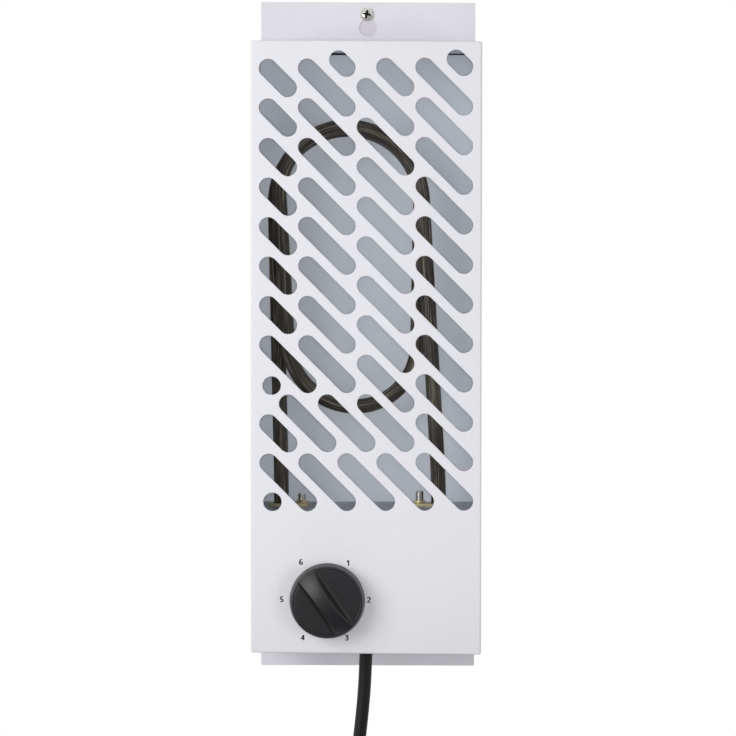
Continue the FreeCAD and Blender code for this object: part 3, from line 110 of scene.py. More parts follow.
def made(name, points, faces, material, stands_for, body="case", crease=35):
    """Piece from points in mm, closed up, smooth but for its creases, and riding on its body."""
    mesh = bpy.data.meshes.new(name)
    mesh.from_pydata([Vector(p) * MM for p in points], [], faces)
    skin = bmesh.new()
    skin.from_mesh(mesh)
    bmesh.ops.remove_doubles(skin, verts=skin.verts, dist=1e-6)
    bmesh.ops.recalc_face_normals(skin, faces=skin.faces)
    skin.to_mesh(mesh)
    skin.free()
    mesh.shade_smooth()
    mesh.set_sharp_from_angle(angle=math.radians(crease))
    mesh.materials.append(material)
    thing = bpy.data.objects.new(name, mesh)
    bpy.context.scene.collection.objects.link(thing)
    level = thing.modifiers.new("level_faces", "WEIGHTED_NORMAL")
    level.keep_sharp = True
    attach(thing, body)
    if stands_for:
        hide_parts(*stands_for)
    return thing


def ring_at(points, outline, depth):
    """Add an outline of (x, z) at one depth and return its place in the list."""
    start = len(points)
    points.extend((x, depth, z) for x, z in outline)
    return list(range(start, start + len(outline)))


def bands(faces, rings):
    """Skin over a row of rings that have as many points each."""
    for near, far in zip(rings, rings[1:]):
        for k in range(len(near)):
            faces.append((near[k - 1], near[k], far[k], far[k - 1]))


def within(spot, corners):
    """Whether a flat spot lies inside an outline."""
    inside = False
    for k, far in enumerate(corners):
        near = corners[k - 1]
        if (near.y > spot.y) != (far.y > spot.y):
            reach = near.x + (spot.y - near.y) / (far.y - near.y) * (far.x - near.x)
            inside = inside != (spot.x < reach)
    return inside


def flat_fill(points, faces, loops):
    """Level face between an outline and the holes in it."""
    places = [i for loop in loops for i in loop]
    spots = [Vector((points[i][0], points[i][2])) for i in places]
    owners = [n for n, loop in enumerate(loops) for i in loop]
    edges, corners = [], []
    for loop in loops:
        start = sum(map(len, corners))
        edges += [(start + k, start + (k + 1) % len(loop)) for k in range(len(loop))]
        corners.append(spots[start:start + len(loop)])
    result = delaunay_2d_cdt(spots, edges, [], 1, 1e-7)
    for face in result[2]:
        sources = [result[3][v][0] for v in face]
        owner = owners[sources[0]]
        middle = sum((spots[s] for s in sources), Vector((0, 0))) / len(sources)
        punched = owner and all(owners[s] == owner for s in sources) and within(middle, corners[owner])
        if not punched:
            faces.append(tuple(places[s] for s in sources))


def quarter(steps):
    """Angles of a quarter circle in equal steps, both ends included."""
    return [math.pi / 2 * k / steps for k in range(steps + 1)]


def box_outline(left, right, low, high, grow=0.0, corner=0.8, steps=4):
    """Rectangle with small rounded corners, grown or shrunk all round."""
    radius = max(0.05, corner + grow)
    outline = []
    middles = [(right, high), (left, high), (left, low), (right, low)]
    for side, (x, z) in enumerate(middles):
        across = 1 if x == right else -1
        up = 1 if z == high else -1
        centre = (x + across * (grow - radius), z + up * (grow - radius))
        for turn in quarter(steps):
            angle = turn + side * math.pi / 2
            outline.append((centre[0] + radius * math.cos(angle), centre[1] + radius * math.sin(angle)))
    return outline


def pressed_edge(front, back, edge, grow):
    """Levels (growth, depth) of a sheet's rim from its front face to its back face."""
    turns = quarter(4)
    levels = [(grow * edge * (1 - math.sin(t)), front + edge * (1 - math.cos(t))) for t in turns]
    levels += [(grow * edge * (1 - math.cos(t)), back - edge * (1 - math.sin(t))) for t in turns]
    return levels


def sheet(points, faces, rim, holes, front, back, edge=0.2):
    """Flat sheet with softened edges. The rim and holes are outlines that can grow."""
    loops = []
    for outline, grow in [(rim, -1), *((hole, 1) for hole in holes)]:
        rings = [ring_at(points, outline(g), y) for g, y in pressed_edge(front, back, edge, grow)]
        bands(faces, rings)
        loops.append((rings[0], rings[-1]))
    flat_fill(points, faces, [first for first, last in loops])
    flat_fill(points, faces, [last for first, last in loops])


KEYHOLE_RADIUS, NECK_SLOT, NECK_RISE = 5.25, 3.0, 8.2


def keyhole(grow):
    """Round hole with the narrow slot for the screw's neck above it."""
    hole, neck = KEYHOLE_RADIUS + grow, NECK_SLOT + grow
    meet = math.asin(neck / hole)
    turns = [meet + (2 * math.pi - 2 * meet) * k / 48 for k in range(49)]
    outline = [(hole * math.sin(t), hole * math.cos(t)) for t in turns]
    over = [math.pi * k / 24 for k in range(25)]
    outline += [(-neck * math.cos(t), NECK_RISE + neck * math.sin(t)) for t in over]
    return outline


PLATE_SIDE, PLATE_LOW, PLATE_HIGH, PLATE_FRONT = 63.2, -377.5, 14.5, -1.0
EDGE_FALL, EDGE_BAND = 0.0055, 2.5
LUG_LEFTS, LUG_HEIGHTS, LUG_SHEET, LUG_HALF, LUG_TIP = (-63.95, 63.45), (-22, -322), 0.5, 5, -14
plate_points, plate_faces = [], []
sheet(plate_points, plate_faces, lambda g: box_outline(-PLATE_SIDE, PLATE_SIDE, PLATE_LOW, PLATE_HIGH, g),
      [keyhole], PLATE_FRONT, 0)
plate_points = [(x, y, z + EDGE_FALL * (PLATE_SIDE - x) if z > PLATE_HIGH - EDGE_BAND else z)
                for x, y, z in plate_points]
for left in LUG_LEFTS:
    for height in LUG_HEIGHTS:
        low, high = height - LUG_HALF, height + LUG_HALF
        sheet(plate_points, plate_faces, lambda g: box_outline(left, left + LUG_SHEET, low, high, g, 0.15),
              [], LUG_TIP, PLATE_FRONT - 0.02, 0.1)
plate_coat = finish("plate_coat", srgb(228, 227, 232), 0.46, grain=650, tone=0.012, rough_tone=0.05,
                    bump=0.12, relief=0.03)
made("plate_sheet", plate_points, plate_faces, plate_coat, ["wall_plate"])


# Chamber back: the part of the plate inside the cover, painted a pale blue-grey right out to the cover's
# sides. A black strip on it along the roof's rear edge is a painted shadow in the roof's rear seam.
CHAMBER_SIDE, CHAMBER_LOW, CHAMBER_HIGH = 63.95, -359, -15.4
SEAM_SIDE, SEAM_LOW, SEAM_HIGH = 63.9, -16.2, -15.0
lacquer_points, lacquer_faces = [], []
sheet(lacquer_points, lacquer_faces,
      lambda g: box_outline(-CHAMBER_SIDE, CHAMBER_SIDE, CHAMBER_LOW, CHAMBER_HIGH, g, 0.3),
      [], PLATE_FRONT - 0.06, -0.5, 0.05)
chamber_blue_grey = finish("chamber_blue_grey", srgb(224, 231, 238), 0.5, grain=500, tone=0.015, rough_tone=0.05,
                      bump=0.1, relief=0.03)
made("chamber_back", lacquer_points, lacquer_faces, chamber_blue_grey, [])
# The black strip along the roof's rear edge is a painted shadow in the seam between the roof and the plate.
seam_points, seam_faces = [], []
sheet(seam_points, seam_faces, lambda g: box_outline(-SEAM_SIDE, SEAM_SIDE, SEAM_LOW, SEAM_HIGH, g, 0.2),
      [], -2.1, PLATE_FRONT - 0.05, 0.1)
seam_shadow_black = finish("seam_shadow_black", srgb(34, 38, 44), 0.9, grain=3000, tone=0.2, bump=0.5, relief=0.1,
                   specular=0.2)
made("roof_seam_shadow", seam_points, seam_faces, seam_shadow_black, [])


# Hanging screw: bright pan-head screw in the keyhole's slot, with a cross recess pressed into its
# head and a coarse thread, pointed at its end, that goes into the wall.
def polar(points, faces, rows, columns, place, closed_ends=True):
    """Skin of rings round an axis: place(row, turn) gives each point. Returns the rings."""
    rings = []
    for row in range(rows):
        start = len(points)
        points.extend(place(row, 2 * math.pi * k / columns) for k in range(columns))
        rings.append(list(range(start, start + columns)))
    bands(faces, rings)
    if closed_ends:
        faces.append(tuple(rings[0]))
        faces.append(tuple(reversed(rings[-1])))
    return rings


def smooth(low, high, value):
    """Soft step from 0 at the low value to 1 at the high one."""
    share = min(1, max(0, (value - low) / (high - low)))
    return share * share * (3 - 2 * share)


def cross_recess(x, z, reach, width):
    """How far into the cross a point lies, 0 outside and 1 on its floor."""
    arms = [min(reach - abs(a), (width * (1 - 0.35 * abs(a) / reach) - abs(b)) * 1.6)
            for a, b in ((x, z), (z, x))]
    return smooth(0, 0.35, max(arms))


HANG_SIDE, HANG_RISE, HANG_LEAN = -0.85, 7.6, math.radians(12.5)
HANG_HEAD, HANG_TOP, HANG_DOME, DOME_ROWS, SCREW_SIDES = 3.8, -3.7, 2.2, 30, 96
CROSS_DEPTH, CROSS_REACH, CROSS_WIDTH = 2.0, 2.5, 0.72
SHANK_RADIUS, THREAD_FROM, THREAD_PITCH, THREAD_DEPTH = 2.1, 2, 1.8, 0.55
POINT_FROM, POINT_TAPER = 12, 0.13
shank = [(3.85, -1.3), (3.7, -1.12), (SHANK_RADIUS, -1.1), (SHANK_RADIUS, 0.3), (SHANK_RADIUS, 0.45)]
shank += [(SHANK_RADIUS if y < POINT_FROM else SHANK_RADIUS - (y - POINT_FROM) * POINT_TAPER, y)
          for y in (0.6 + 0.3 * k for k in range(91))]


def hang_recess(x, z):
    """Share of the recess's depth at a spot of the head, with the cross turned by its lean."""
    across = x * math.cos(HANG_LEAN) - z * math.sin(HANG_LEAN)
    along = x * math.sin(HANG_LEAN) + z * math.cos(HANG_LEAN)
    return cross_recess(across, along, CROSS_REACH, CROSS_WIDTH)


def hang_head(row, turn):
    """Point of the domed head, sunk where the recess is."""
    arc = row / DOME_ROWS * math.pi / 2
    x, z = HANG_HEAD * math.sin(arc) * math.cos(turn), HANG_HEAD * math.sin(arc) * math.sin(turn)
    dome = HANG_TOP + HANG_DOME * (1 - math.cos(arc)) ** 1.1
    return HANG_SIDE + x, dome + CROSS_DEPTH * hang_recess(x, z), HANG_RISE + z


def hang_shank(row, turn):
    """Point of the head's underside, the neck or the thread."""
    radius, y = shank[row]
    if y > THREAD_FROM:
        lead = (y / THREAD_PITCH + turn / (2 * math.pi)) % 1
        valley = 1 - smooth(0.4, 0.9, 1 - abs(lead - 0.5) * 2)
        radius -= min(THREAD_DEPTH, radius * 0.4) * valley
    return HANG_SIDE + radius * math.cos(turn), y, HANG_RISE + radius * math.sin(turn)


screw_points, screw_faces = [], []
head_rings = polar(screw_points, screw_faces, DOME_ROWS + 1, SCREW_SIDES, hang_head, closed_ends=False)
shank_rings = polar(screw_points, screw_faces, len(shank), SCREW_SIDES, hang_shank, closed_ends=False)
bands(screw_faces, [head_rings[-1], shank_rings[0]])
screw_faces.append(tuple(shank_rings[-1]))
bright_steel = finish("bright_steel", srgb(214, 212, 206), 0.16, metal=1, grain=1500, tone=0.05,
                      rough_tone=0.05, bump=0.05, relief=0.01)
hang_screw = made("hanging_screw_fine", screw_points, screw_faces, bright_steel,
                  ["hanging_screw"], crease=50)
# The faces of the cross recess get a dark finish: painted shade in the recess.
recess_painted_shade = finish("recess_painted_shade", srgb(38, 37, 34), 0.5, metal=0.6, grain=2500, tone=0.2)
hang_screw.data.materials.append(recess_painted_shade)
for face in hang_screw.data.polygons:
    x, y, z = face.center / MM - Vector((HANG_SIDE, 0, HANG_RISE))
    face.material_index = int(y < -1.2 and hang_recess(x, z) > 0.15)


# Shelf: zinc-plated sheet between the warm chamber and the control box, spot-welded to the wall
# plate by its rear flange, with a lip behind the front panel. The thermostat's bracket and the clips
# of its bulb are bent from the same sheet.
zinc_sheet = finish("zinc_sheet", srgb(164, 168, 172), 0.38, metal=0.85, grain=220, tone=0.1,
                    rough_tone=0.08, bump=0.04, relief=0.02)
for name in ("element_shelf", "thermostat_bracket", "bulb_clips"):
    dress(name, zinc_sheet)


# Heating element: one steel tube, heat-darkened with lengthwise drawing streaks. It rises from the
# left foot, makes a turn and a half in two layers and comes down to the right foot.
ELEMENT_RADIUS, ELEMENT_SIDES, BEND_SHARE, BEND_STEP = 4.25, 32, 0.499, 2.5
element_route = [(-49.6, -31, -293.25), (-49.6, -31, -266.05), (-54.8, -22, -62.0), (31.7, -22, -61.3),
                 (28.4, -22, -223.9), (-43.9, -37, -221.1), (-52.8, -37, -61.4), (29.5, -37, -61.3),
                 (41.5, -31, -266.05), (41.5, -31, -293.25)]


def oxide_finish():
    """Dark oxide in streaks that follow the tube, by its map of round and along."""
    material = bpy.data.materials.new("element_oxide")
    material.use_nodes = True
    tree = material.node_tree
    shader = tree.nodes["Principled BSDF"]
    shader.inputs["Metallic"].default_value = 0.35
    shader.inputs["Specular IOR Level"].default_value = 0.45
    along = tree.nodes.new("ShaderNodeUVMap")
    along.uv_map = "round_and_along"
    spread = tree.nodes.new("ShaderNodeMapping")
    spread.inputs["Scale"].default_value = (46, 3, 1)
    tree.links.new(along.outputs["UV"], spread.inputs["Vector"])
    streaks = tree.nodes.new("ShaderNodeTexNoise")
    streaks.inputs["Scale"].default_value = 1
    streaks.inputs["Detail"].default_value = 6
    streaks.inputs["Roughness"].default_value = 0.65
    tree.links.new(spread.outputs["Vector"], streaks.inputs["Vector"])
    stops = [(0.39, srgb(38, 35, 32)), (0.54, srgb(84, 79, 72)), (0.67, srgb(164, 152, 137))]
    by_noise(tree, streaks, stops, (0, 1), (0.38, 0.62), 0.25, 0.05)
    return material


def bent_line(route, share, step):
    """Points along straight runs joined by round bends, a step of millimetres apart."""
    corners = [Vector(p) for p in route]
    line = [corners[0]]
    for before, corner, after in zip(corners, corners[1:], corners[2:]):
        back, ahead = before - corner, after - corner
        reach = share * min(back.length, ahead.length)
        half = back.angle(ahead) / 2
        start, end = corner + back.normalized() * reach, corner + ahead.normalized() * reach
        centre = corner + (back.normalized() + ahead.normalized()).normalized() * (reach / math.cos(half))
        sweep = math.pi - 2 * half
        arm = start - centre
        axis = arm.cross(end - centre).normalized()
        count = max(2, round(arm.length * sweep / step))
        for k in range(count + 1):
            turn = sweep * k / count
            line.append(centre + arm * math.cos(turn) + axis.cross(arm) * math.sin(turn))
    line.append(corners[-1])
    return line


def rod_skin(line, radius, sides):
    """Rings of a tube along a line, its faces, and how far along the line each ring lies."""
    points, faces, spans = [], [], []
    across = Vector((0, 1, 0))
    length = 0
    for k, spot in enumerate(line):
        ahead = (line[min(k + 1, len(line) - 1)] - line[max(k - 1, 0)]).normalized()
        across = (across - ahead * across.dot(ahead)).normalized()
        other = ahead.cross(across)
        length += (spot - line[k - 1]).length if k else 0
        spans.append(length)
        points += [spot + radius * (across * math.cos(t) + other * math.sin(t))
                   for t in (2 * math.pi * n / sides for n in range(sides))]
    last = len(points) - sides
    for a in range(0, last, sides):
        b = a + sides
        faces += [(a + n, a + (n + 1) % sides, b + (n + 1) % sides, b + n) for n in range(sides)]
    faces += [tuple(range(sides)), tuple(range(last, last + sides))]
    return points, faces, spans


tube_points, tube_faces, tube_spans = rod_skin(bent_line(element_route, BEND_SHARE, BEND_STEP),
                                               ELEMENT_RADIUS, ELEMENT_SIDES)
tube = made("element_tube", tube_points, tube_faces, oxide_finish(), ["heating_element"],
            crease=60)
tube_map = tube.data.uv_layers.new(name="round_and_along")
for face in tube.data.polygons:
    corners = {i: tube.data.loops[i].vertex_index for i in face.loop_indices}
    columns = [vertex % ELEMENT_SIDES for vertex in corners.values()]
    seam = 0 in columns and ELEMENT_SIDES - 1 in columns
    for i, vertex in corners.items():
        ring, column = divmod(vertex, ELEMENT_SIDES)
        column = ELEMENT_SIDES if seam and column == 0 else column
        tube_map.data[i].uv = (column / ELEMENT_SIDES, tube_spans[ring] / 100)


# Feet of the element: oval plates of yellow-passivated zinc round the legs, each held to the shelf
# by a threaded stud and a brass nut. The right stud stands a little taller than the left one.
FOOT_DEPTH, SHELF_TOP = -31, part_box("element_shelf")[1][2] / MM
STUD_BELOW, STUD_STEP, STUD_PITCH, STUD_RADIUS, STUD_THREAD = 3.4, 0.1, 0.7, 2.25, 0.14
STUD_TIP, STUD_HEAD, STUD_HEAD_ROWS, STUDS = 1.8, 3.5, 22, ((-37.6, 106), (30.6, 121))
NUT_SEAT, NUT_FLAT = SHELF_TOP + 1.5, 3.0
nut_profile = [(2.3, 0), (3.0, 0), (3.46, 0.25), (3.46, 1.45), (3.0, 1.7), (2.4, 1.7), (2.3, 1.5), (2.3, 0)]


def stud(foot, rows, row, turn):
    """Point of a stud: its head under the shelf, then the thread up to a chamfered tip."""
    lead = (row * STUD_STEP / STUD_PITCH + turn / (2 * math.pi)) % 1
    radius = STUD_RADIUS - STUD_THREAD * abs(lead - 0.5) * 2
    radius = min(radius, STUD_TIP + 0.05 * (rows - 1 - row))
    radius = STUD_HEAD if row <= STUD_HEAD_ROWS else radius
    height = SHELF_TOP - STUD_BELOW + row * STUD_STEP
    return foot + radius * math.cos(turn), FOOT_DEPTH + radius * math.sin(turn), height


def nut(foot, row, turn):
    """Point of a six-sided nut with chamfered corners."""
    radius, rise = nut_profile[row]
    radius = min(radius, NUT_FLAT / math.cos((turn + math.pi / 6) % (math.pi / 3) - math.pi / 6))
    return foot + radius * math.cos(turn), FOOT_DEPTH + radius * math.sin(turn), NUT_SEAT + rise


stud_points, stud_faces = [], []
nut_points, nut_faces = [], []
for foot, rows in STUDS:
    polar(stud_points, stud_faces, rows, 32, lambda row, turn: stud(foot, rows, row, turn))
    polar(nut_points, nut_faces, len(nut_profile), 72, lambda row, turn: nut(foot, row, turn),
          closed_ends=False)
yellow_zinc = finish("yellow_zinc", srgb(198, 186, 150), 0.4, metal=0.5, grain=500, tone=0.16,
                     rough_tone=0.08, bump=0.05, relief=0.02)
nut_brass = finish("nut_brass", srgb(216, 200, 160), 0.28, metal=0.9, grain=900, tone=0.08, rough_tone=0.06)
dress("element_flanges", yellow_zinc)
made("stud_threads", stud_points, stud_faces, bright_steel, ["flange_studs"], crease=50)
made("brass_nuts", nut_points, nut_faces, nut_brass, ["flange_nuts"], crease=30)


# Inner works of the control box and of the element's ends: ceramic beads, bright pins, a moulded
# thermostat and cut-out, copper bulb and capillary, terminal block, earth stud and insulated wires.
bead_ceramic = finish("bead_ceramic", srgb(226, 220, 208), 0.7, grain=700, tone=0.05)
tab_brass = finish("tab_brass", srgb(198, 172, 112), 0.3, metal=1, grain=800, tone=0.07)
copper = finish("copper", srgb(190, 120, 84), 0.3, metal=1, grain=600, tone=0.1)
switch_black = finish("switch_black", srgb(40, 38, 37), 0.5, grain=900, tone=0.1)
block_white = finish("block_white", srgb(222, 220, 212), 0.5, grain=500, tone=0.03)
wire_brown = finish("wire_brown", srgb(110, 72, 48), 0.45, grain=700, tone=0.06)
wire_blue = finish("wire_blue", srgb(64, 96, 168), 0.45, grain=700, tone=0.06)
wire_black = finish("wire_black", srgb(38, 38, 38), 0.45, grain=700, tone=0.08)
wire_green_yellow = finish("wire_green_yellow", srgb(150, 176, 60), 0.45, grain=140, tone=0.35)
inner_works = [(bead_ceramic, ["element_beads"]),
               (bright_steel, ["element_pins", "thermostat_screws", "thermostat_spindle", "knob_spring",
                               "cutout_screws", "clamp_screws", "block_screw", "earth_stud"]),
               (tab_brass, ["thermostat_tabs", "cutout_tabs", "terminal_inserts", "earth_ring"]),
               (copper, ["capillary_tube", "sensing_bulb"]),
               (switch_black, ["thermostat_body", "thermal_cutout"]),
               (nut_brass, ["earth_nut"]),
               (block_white, ["terminal_block"]),
               (wire_brown, ["supply_live", "live_wire"]),
               (wire_blue, ["supply_neutral", "neutral_wire"]),
               (wire_black, ["thermostat_wire", "cutout_wire"]),
               (wire_green_yellow, ["supply_earth", "earth_wire"])]
for surface, names in inner_works:
    for name in names:
        dress(name, surface)


# Front cover: one sheet of steel, punched with slanted round-ended slots on a grid that sits a little
# askew, folded into a box that is open to the wall, and coated white. Its edges and the punched slots
# are softened by the coat, and its top and bottom folds fall a little to the right.
PANEL, SHEET, BEND, REAR = -70.0, 1.0, 1.2, -2.2
INSIDE = PANEL + SHEET
LEFT, RIGHT, LOW, HIGH = -65.0, 65.0, -360.0, -15.6
TOP_LIFT, TOP_FALL, ROOF_RISE, LOW_DROP, LOW_FALL, FOLD_BAND = 0.3, 0.0048, 1.4, 0.3, 0.006, 3
COLUMN, ROW, MIDDLE_COLUMN, FIRST_ROW, SLOT_RADIUS, SLOT_EDGE = 11.0, 11.1, 5, -30.7, 5.15, 0.4
GRID_LIFT, GRID_MIDDLE, LEAN_ACROSS, LEAN_UP = 0.1, -160, 0.0018, 0.0068
slots = [(0, 2 * k, 1, 2 * k + 1) for k in range(7)]
slots += [(2, 2 * k, 4, 2 * k + 2) for k in range(8)]
slots += [(5, 2 * k + 1, 7, 2 * k + 3) for k in range(9)]
slots += [(8, 2 * k, 10, 2 * k + 2) for k in range(10)]
slots += [(2 * k, 20, 2 * k + 2, 22) for k in range(5)]
slots += [(0, 14, 2, 16), (1, 17, 3, 19), (3, 17, 5, 19), (0, 18, 1, 19), (6, 0, 7, 1)]
slots += [(3.6, -0.4, 4, 0), (9.6, -0.4, 10, 0), (0.16, 16.07, 0.16, 16.07), (0.19, 21.98, 0.19, 21.98)]


def grid_place(column, row):
    """Place on the punching grid."""
    x, z = COLUMN * (column - MIDDLE_COLUMN), FIRST_ROW - ROW * row
    return Vector((x - LEAN_ACROSS * (z - GRID_MIDDLE), z + GRID_LIFT + LEAN_UP * x))


def slot_outline(ends, grow):
    """Round-ended slot between two places of the punching grid, or a round hole at one."""
    start, end = grid_place(*ends[:2]), grid_place(*ends[2:])
    along = (end - start).normalized() if end != start else Vector((1, 0))
    aside = Vector((-along.y, along.x))
    radius = SLOT_RADIUS + grow
    count = 18
    turns = [math.pi * k / count for k in range(count + 1)]
    turns = turns if end != start else turns[:-1]
    bulge = [(aside * math.cos(t) + along * math.sin(t)) * radius for t in turns]
    return [tuple(end + b) for b in bulge] + [tuple(start - b) for b in bulge]


cover_points, cover_faces = [], []
rim_levels = [(-BEND * (1 - math.sin(t)), PANEL + BEND * (1 - math.cos(t))) for t in quarter(8)]
rim_levels += [(0, REAR - 0.3), (-0.2, REAR), (-0.8, REAR), (-SHEET, REAR - 0.3)]
rim_levels += [(-SHEET - 0.4 * (1 - math.cos(t)), INSIDE + 0.4 * (1 - math.sin(t))) for t in quarter(8)]
rims = [ring_at(cover_points, box_outline(LEFT, RIGHT, LOW, HIGH, g, 1.2), y) for g, y in rim_levels]
bands(cover_faces, rims)
for place, (x, y, z) in enumerate(cover_points):
    if z > HIGH - FOLD_BAND:
        z += TOP_LIFT - TOP_FALL * (x - LEFT) + ROOF_RISE * (y - PANEL) / -PANEL
    elif z < LOW + FOLD_BAND:
        z -= LOW_DROP + LOW_FALL * (x - LEFT)
    cover_points[place] = (x, y, z)
slot_levels = [(SLOT_EDGE * (1 - math.sin(t)), PANEL + SLOT_EDGE * (1 - math.cos(t))) for t in quarter(4)]
slot_levels += [(0, INSIDE - 0.12), (0.12, INSIDE)]
front_loops, back_loops = [rims[0]], [rims[-1]]
for ends in slots:
    rings = [ring_at(cover_points, slot_outline(ends, g), y) for g, y in slot_levels]
    bands(cover_faces, rings)
    front_loops.append(rings[0])
    back_loops.append(rings[-1])
flat_fill(cover_points, cover_faces, front_loops)
flat_fill(cover_points, cover_faces, back_loops)
for left in (LEFT, RIGHT - SHEET):
    right = left + SHEET
    sheet(cover_points, cover_faces, lambda g: box_outline(left, right, LOW + 0.3, HIGH - 0.3, g, 0.3),
          [], REAR - 0.4, 0, 0.15)
white_coat = finish("white_coat", srgb(237, 237, 241), 0.42, grain=650, tone=0.012, rough_tone=0.05,
                    bump=0.12, relief=0.03)
made("cover_shell", cover_points, cover_faces, white_coat, ["front_cover"], crease=30)


# Cover screws: two low pan heads of bright steel on each side, with a cross recess. They go through
# the cover's sides into the lugs of the wall plate.
SIDE_HEAD, SIDE_RISE, SIDE_DOME, SIDE_DEPTH, SIDE_ROWS = 3.5, 1.5, 1.1, -7.5, 20
SIDE_CROSS, SIDE_CROSS_REACH, SIDE_CROSS_WIDTH = 1.0, 1.9, 0.5


def side_head(side, height, row, turn):
    """Point of a head that stands out from the cover's side."""
    arc = min(1, row / SIDE_ROWS) * math.pi / 2
    x, z = SIDE_HEAD * math.sin(arc) * math.cos(turn), SIDE_HEAD * math.sin(arc) * math.sin(turn)
    out = SIDE_RISE - SIDE_DOME * (1 - math.cos(arc)) ** 1.2
    out -= SIDE_CROSS * cross_recess(x, z, SIDE_CROSS_REACH, SIDE_CROSS_WIDTH)
    out = out if row <= SIDE_ROWS else 0.0
    return side * (RIGHT + out), SIDE_DEPTH + x, height + z


side_points, side_faces = [], []
for side in (-1, 1):
    for height in LUG_HEIGHTS:
        polar(side_points, side_faces, SIDE_ROWS + 2, 64,
              lambda row, turn: side_head(side, height, row, turn))
made("side_screws", side_points, side_faces, bright_steel, ["cover_screws"], crease=45)


# Knob: one black moulding with a finely sparked face, a fine groove inside its rounded rim and an
# arched grip bar, steeper on one side, whose sides run out into the face. It is pushed onto the
# thermostat's spindle and turns with it.
knob_low, knob_high = [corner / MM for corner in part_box("control_knob")]
KNOB_X, KNOB_Z = (knob_low.x + knob_high.x) / 2, (knob_low.z + knob_high.z) / 2
KNOB_FACE, KNOB_BACK, KNOB_RADIUS = -83.0, knob_high.y, (knob_high.x - knob_low.x) / 2
KNOB_TURN, RIM, TOP_RADIUS = math.radians(-35), 1.2, KNOB_RADIUS - 1.1
HOLLOW, HOLLOW_END, HUB, HUB_END, BORE, BORE_END = 19.25, -81, 6, -72.5, 3.15, -80.9
AXIS = 0.01
groove = [(0.8, 0.25), (0.4, 0.25), (0.15, 0.03)]
knob_profile = [(AXIS, KNOB_FACE), (10, KNOB_FACE), (TOP_RADIUS - RIM - 1.1, KNOB_FACE)]
knob_profile += [(TOP_RADIUS - RIM - inset, KNOB_FACE + sink) for inset, sink in groove]
knob_profile += [(TOP_RADIUS - RIM * (1 - math.sin(t)), KNOB_FACE + RIM * (1 - math.cos(t)))
                 for t in quarter(8)]
knob_profile += [(KNOB_RADIUS - 0.12, -76.4), (KNOB_RADIUS, -75.6), (KNOB_RADIUS - 0.06, -75)]
knob_profile += [(KNOB_RADIUS - 0.5, KNOB_BACK - 0.3), (KNOB_RADIUS - 0.7, KNOB_BACK), (19.4, KNOB_BACK)]
knob_profile += [(HOLLOW, KNOB_BACK - 0.3), (HOLLOW, HOLLOW_END), (HUB, HOLLOW_END), (HUB, HUB_END)]
knob_profile += [(BORE, HUB_END), (BORE, BORE_END), (AXIS, BORE_END)]


def on_knob(u, y, v):
    """Place on the knob from across-the-bar u and along-the-bar v."""
    x = u * math.cos(KNOB_TURN) + v * math.sin(KNOB_TURN)
    z = -u * math.sin(KNOB_TURN) + v * math.cos(KNOB_TURN)
    return KNOB_X + x, y, KNOB_Z + z


def knob_skin(row, turn):
    """Point of the turned body of the knob."""
    radius, y = knob_profile[row]
    return on_knob(radius * math.cos(turn), y, radius * math.sin(turn))


BAR_RISE, END_RISE, BAR_REACH, BAR_ROWS = 7.0, 0.6, TOP_RADIUS - 0.6, 56
GENTLE_SIDE, STEEP_SIDE = (2.5, 4.9, 6.9), (5.1, 6.7, 7.6)
SAG = BAR_RISE - END_RISE
ARCH = (BAR_REACH ** 2 + SAG ** 2) / (2 * SAG)


def bar_height(v):
    """Rise of the arched crest over the face, along the bar."""
    return BAR_RISE - ARCH + math.sqrt(ARCH ** 2 - v ** 2)


def soft_bend(start, corner, end, steps):
    """Points of a smooth bend that leaves one line and meets another."""
    shares = [k / steps for k in range(steps + 1)]
    return [start * (1 - t) ** 2 + corner * (2 * t * (1 - t)) + end * t ** 2 for t in shares]


def bar_section(height, crest, foot, run_out):
    """Half profile of the bar from its run-out on the face to the middle of its crest."""
    slope = (foot - crest) / BAR_RISE
    soft = min(0.8, height * 0.4)
    low = min(1.6, height * 0.4)
    corner = Vector((foot - slope * height, height))
    below = corner + Vector((slope, -1)).normalized() * soft
    beside = corner - Vector((1, 0)) * soft * 1.3
    path = [Vector((run_out + 0.1, -0.4))]
    path += soft_bend(Vector((run_out, 0.01)), Vector((foot, 0.01)), Vector((foot - slope * low, low)), 5)
    path += soft_bend(below, corner, beside, 6)
    path += [beside * (1 - t) + Vector((0, height + 0.1)) * t for t in (0.33, 0.66, 1.0)]
    return path


knob_points, knob_faces = [], []
polar(knob_points, knob_faces, len(knob_profile), 128, knob_skin)
bar_rows = []
for row in range(-1, BAR_ROWS + 2):
    share = max(-1, min(1, -1 + 2 * row / BAR_ROWS))
    height = bar_height(share * BAR_REACH)
    gentle, steep = bar_section(height, *GENTLE_SIDE), bar_section(height, *STEEP_SIDE)
    across = [(p.x, p.y) for p in gentle] + [(-p.x, p.y) for p in reversed(steep[:-1])]
    start = len(knob_points)
    for u, rise in across:
        v = share * math.sqrt(BAR_REACH ** 2 - u ** 2)
        rise = -0.6 if row in (-1, BAR_ROWS + 1) else rise
        knob_points.append(on_knob(u, KNOB_FACE - rise, v))
    bar_rows.append(list(range(start, len(knob_points))))
for near, far in zip(bar_rows, bar_rows[1:]):
    for k in range(len(near) - 1):
        knob_faces.append((near[k], near[k + 1], far[k + 1], far[k]))
knob_black = finish("knob_black", srgb(29, 30, 32), 0.4, grain=2600, tone=0.1, rough_tone=0.06, bump=0.25,
                    relief=0.04)
made("knob_moulding", knob_points, knob_faces, knob_black, ["control_knob"], body="dial",
     crease=40)


# Dial numbers: one to six in plain black print on the panel, clockwise round the knob. Each is drawn
# in strokes of one width, given in shares of its height.
def bow(x, z, wide, tall, start, end, steps=16):
    """Points along part of an oval, from one angle to another in degrees."""
    turns = [math.radians(start + (end - start) * k / steps) for k in range(steps + 1)]
    return [(x + wide * math.cos(t), z + tall * math.sin(t)) for t in turns]


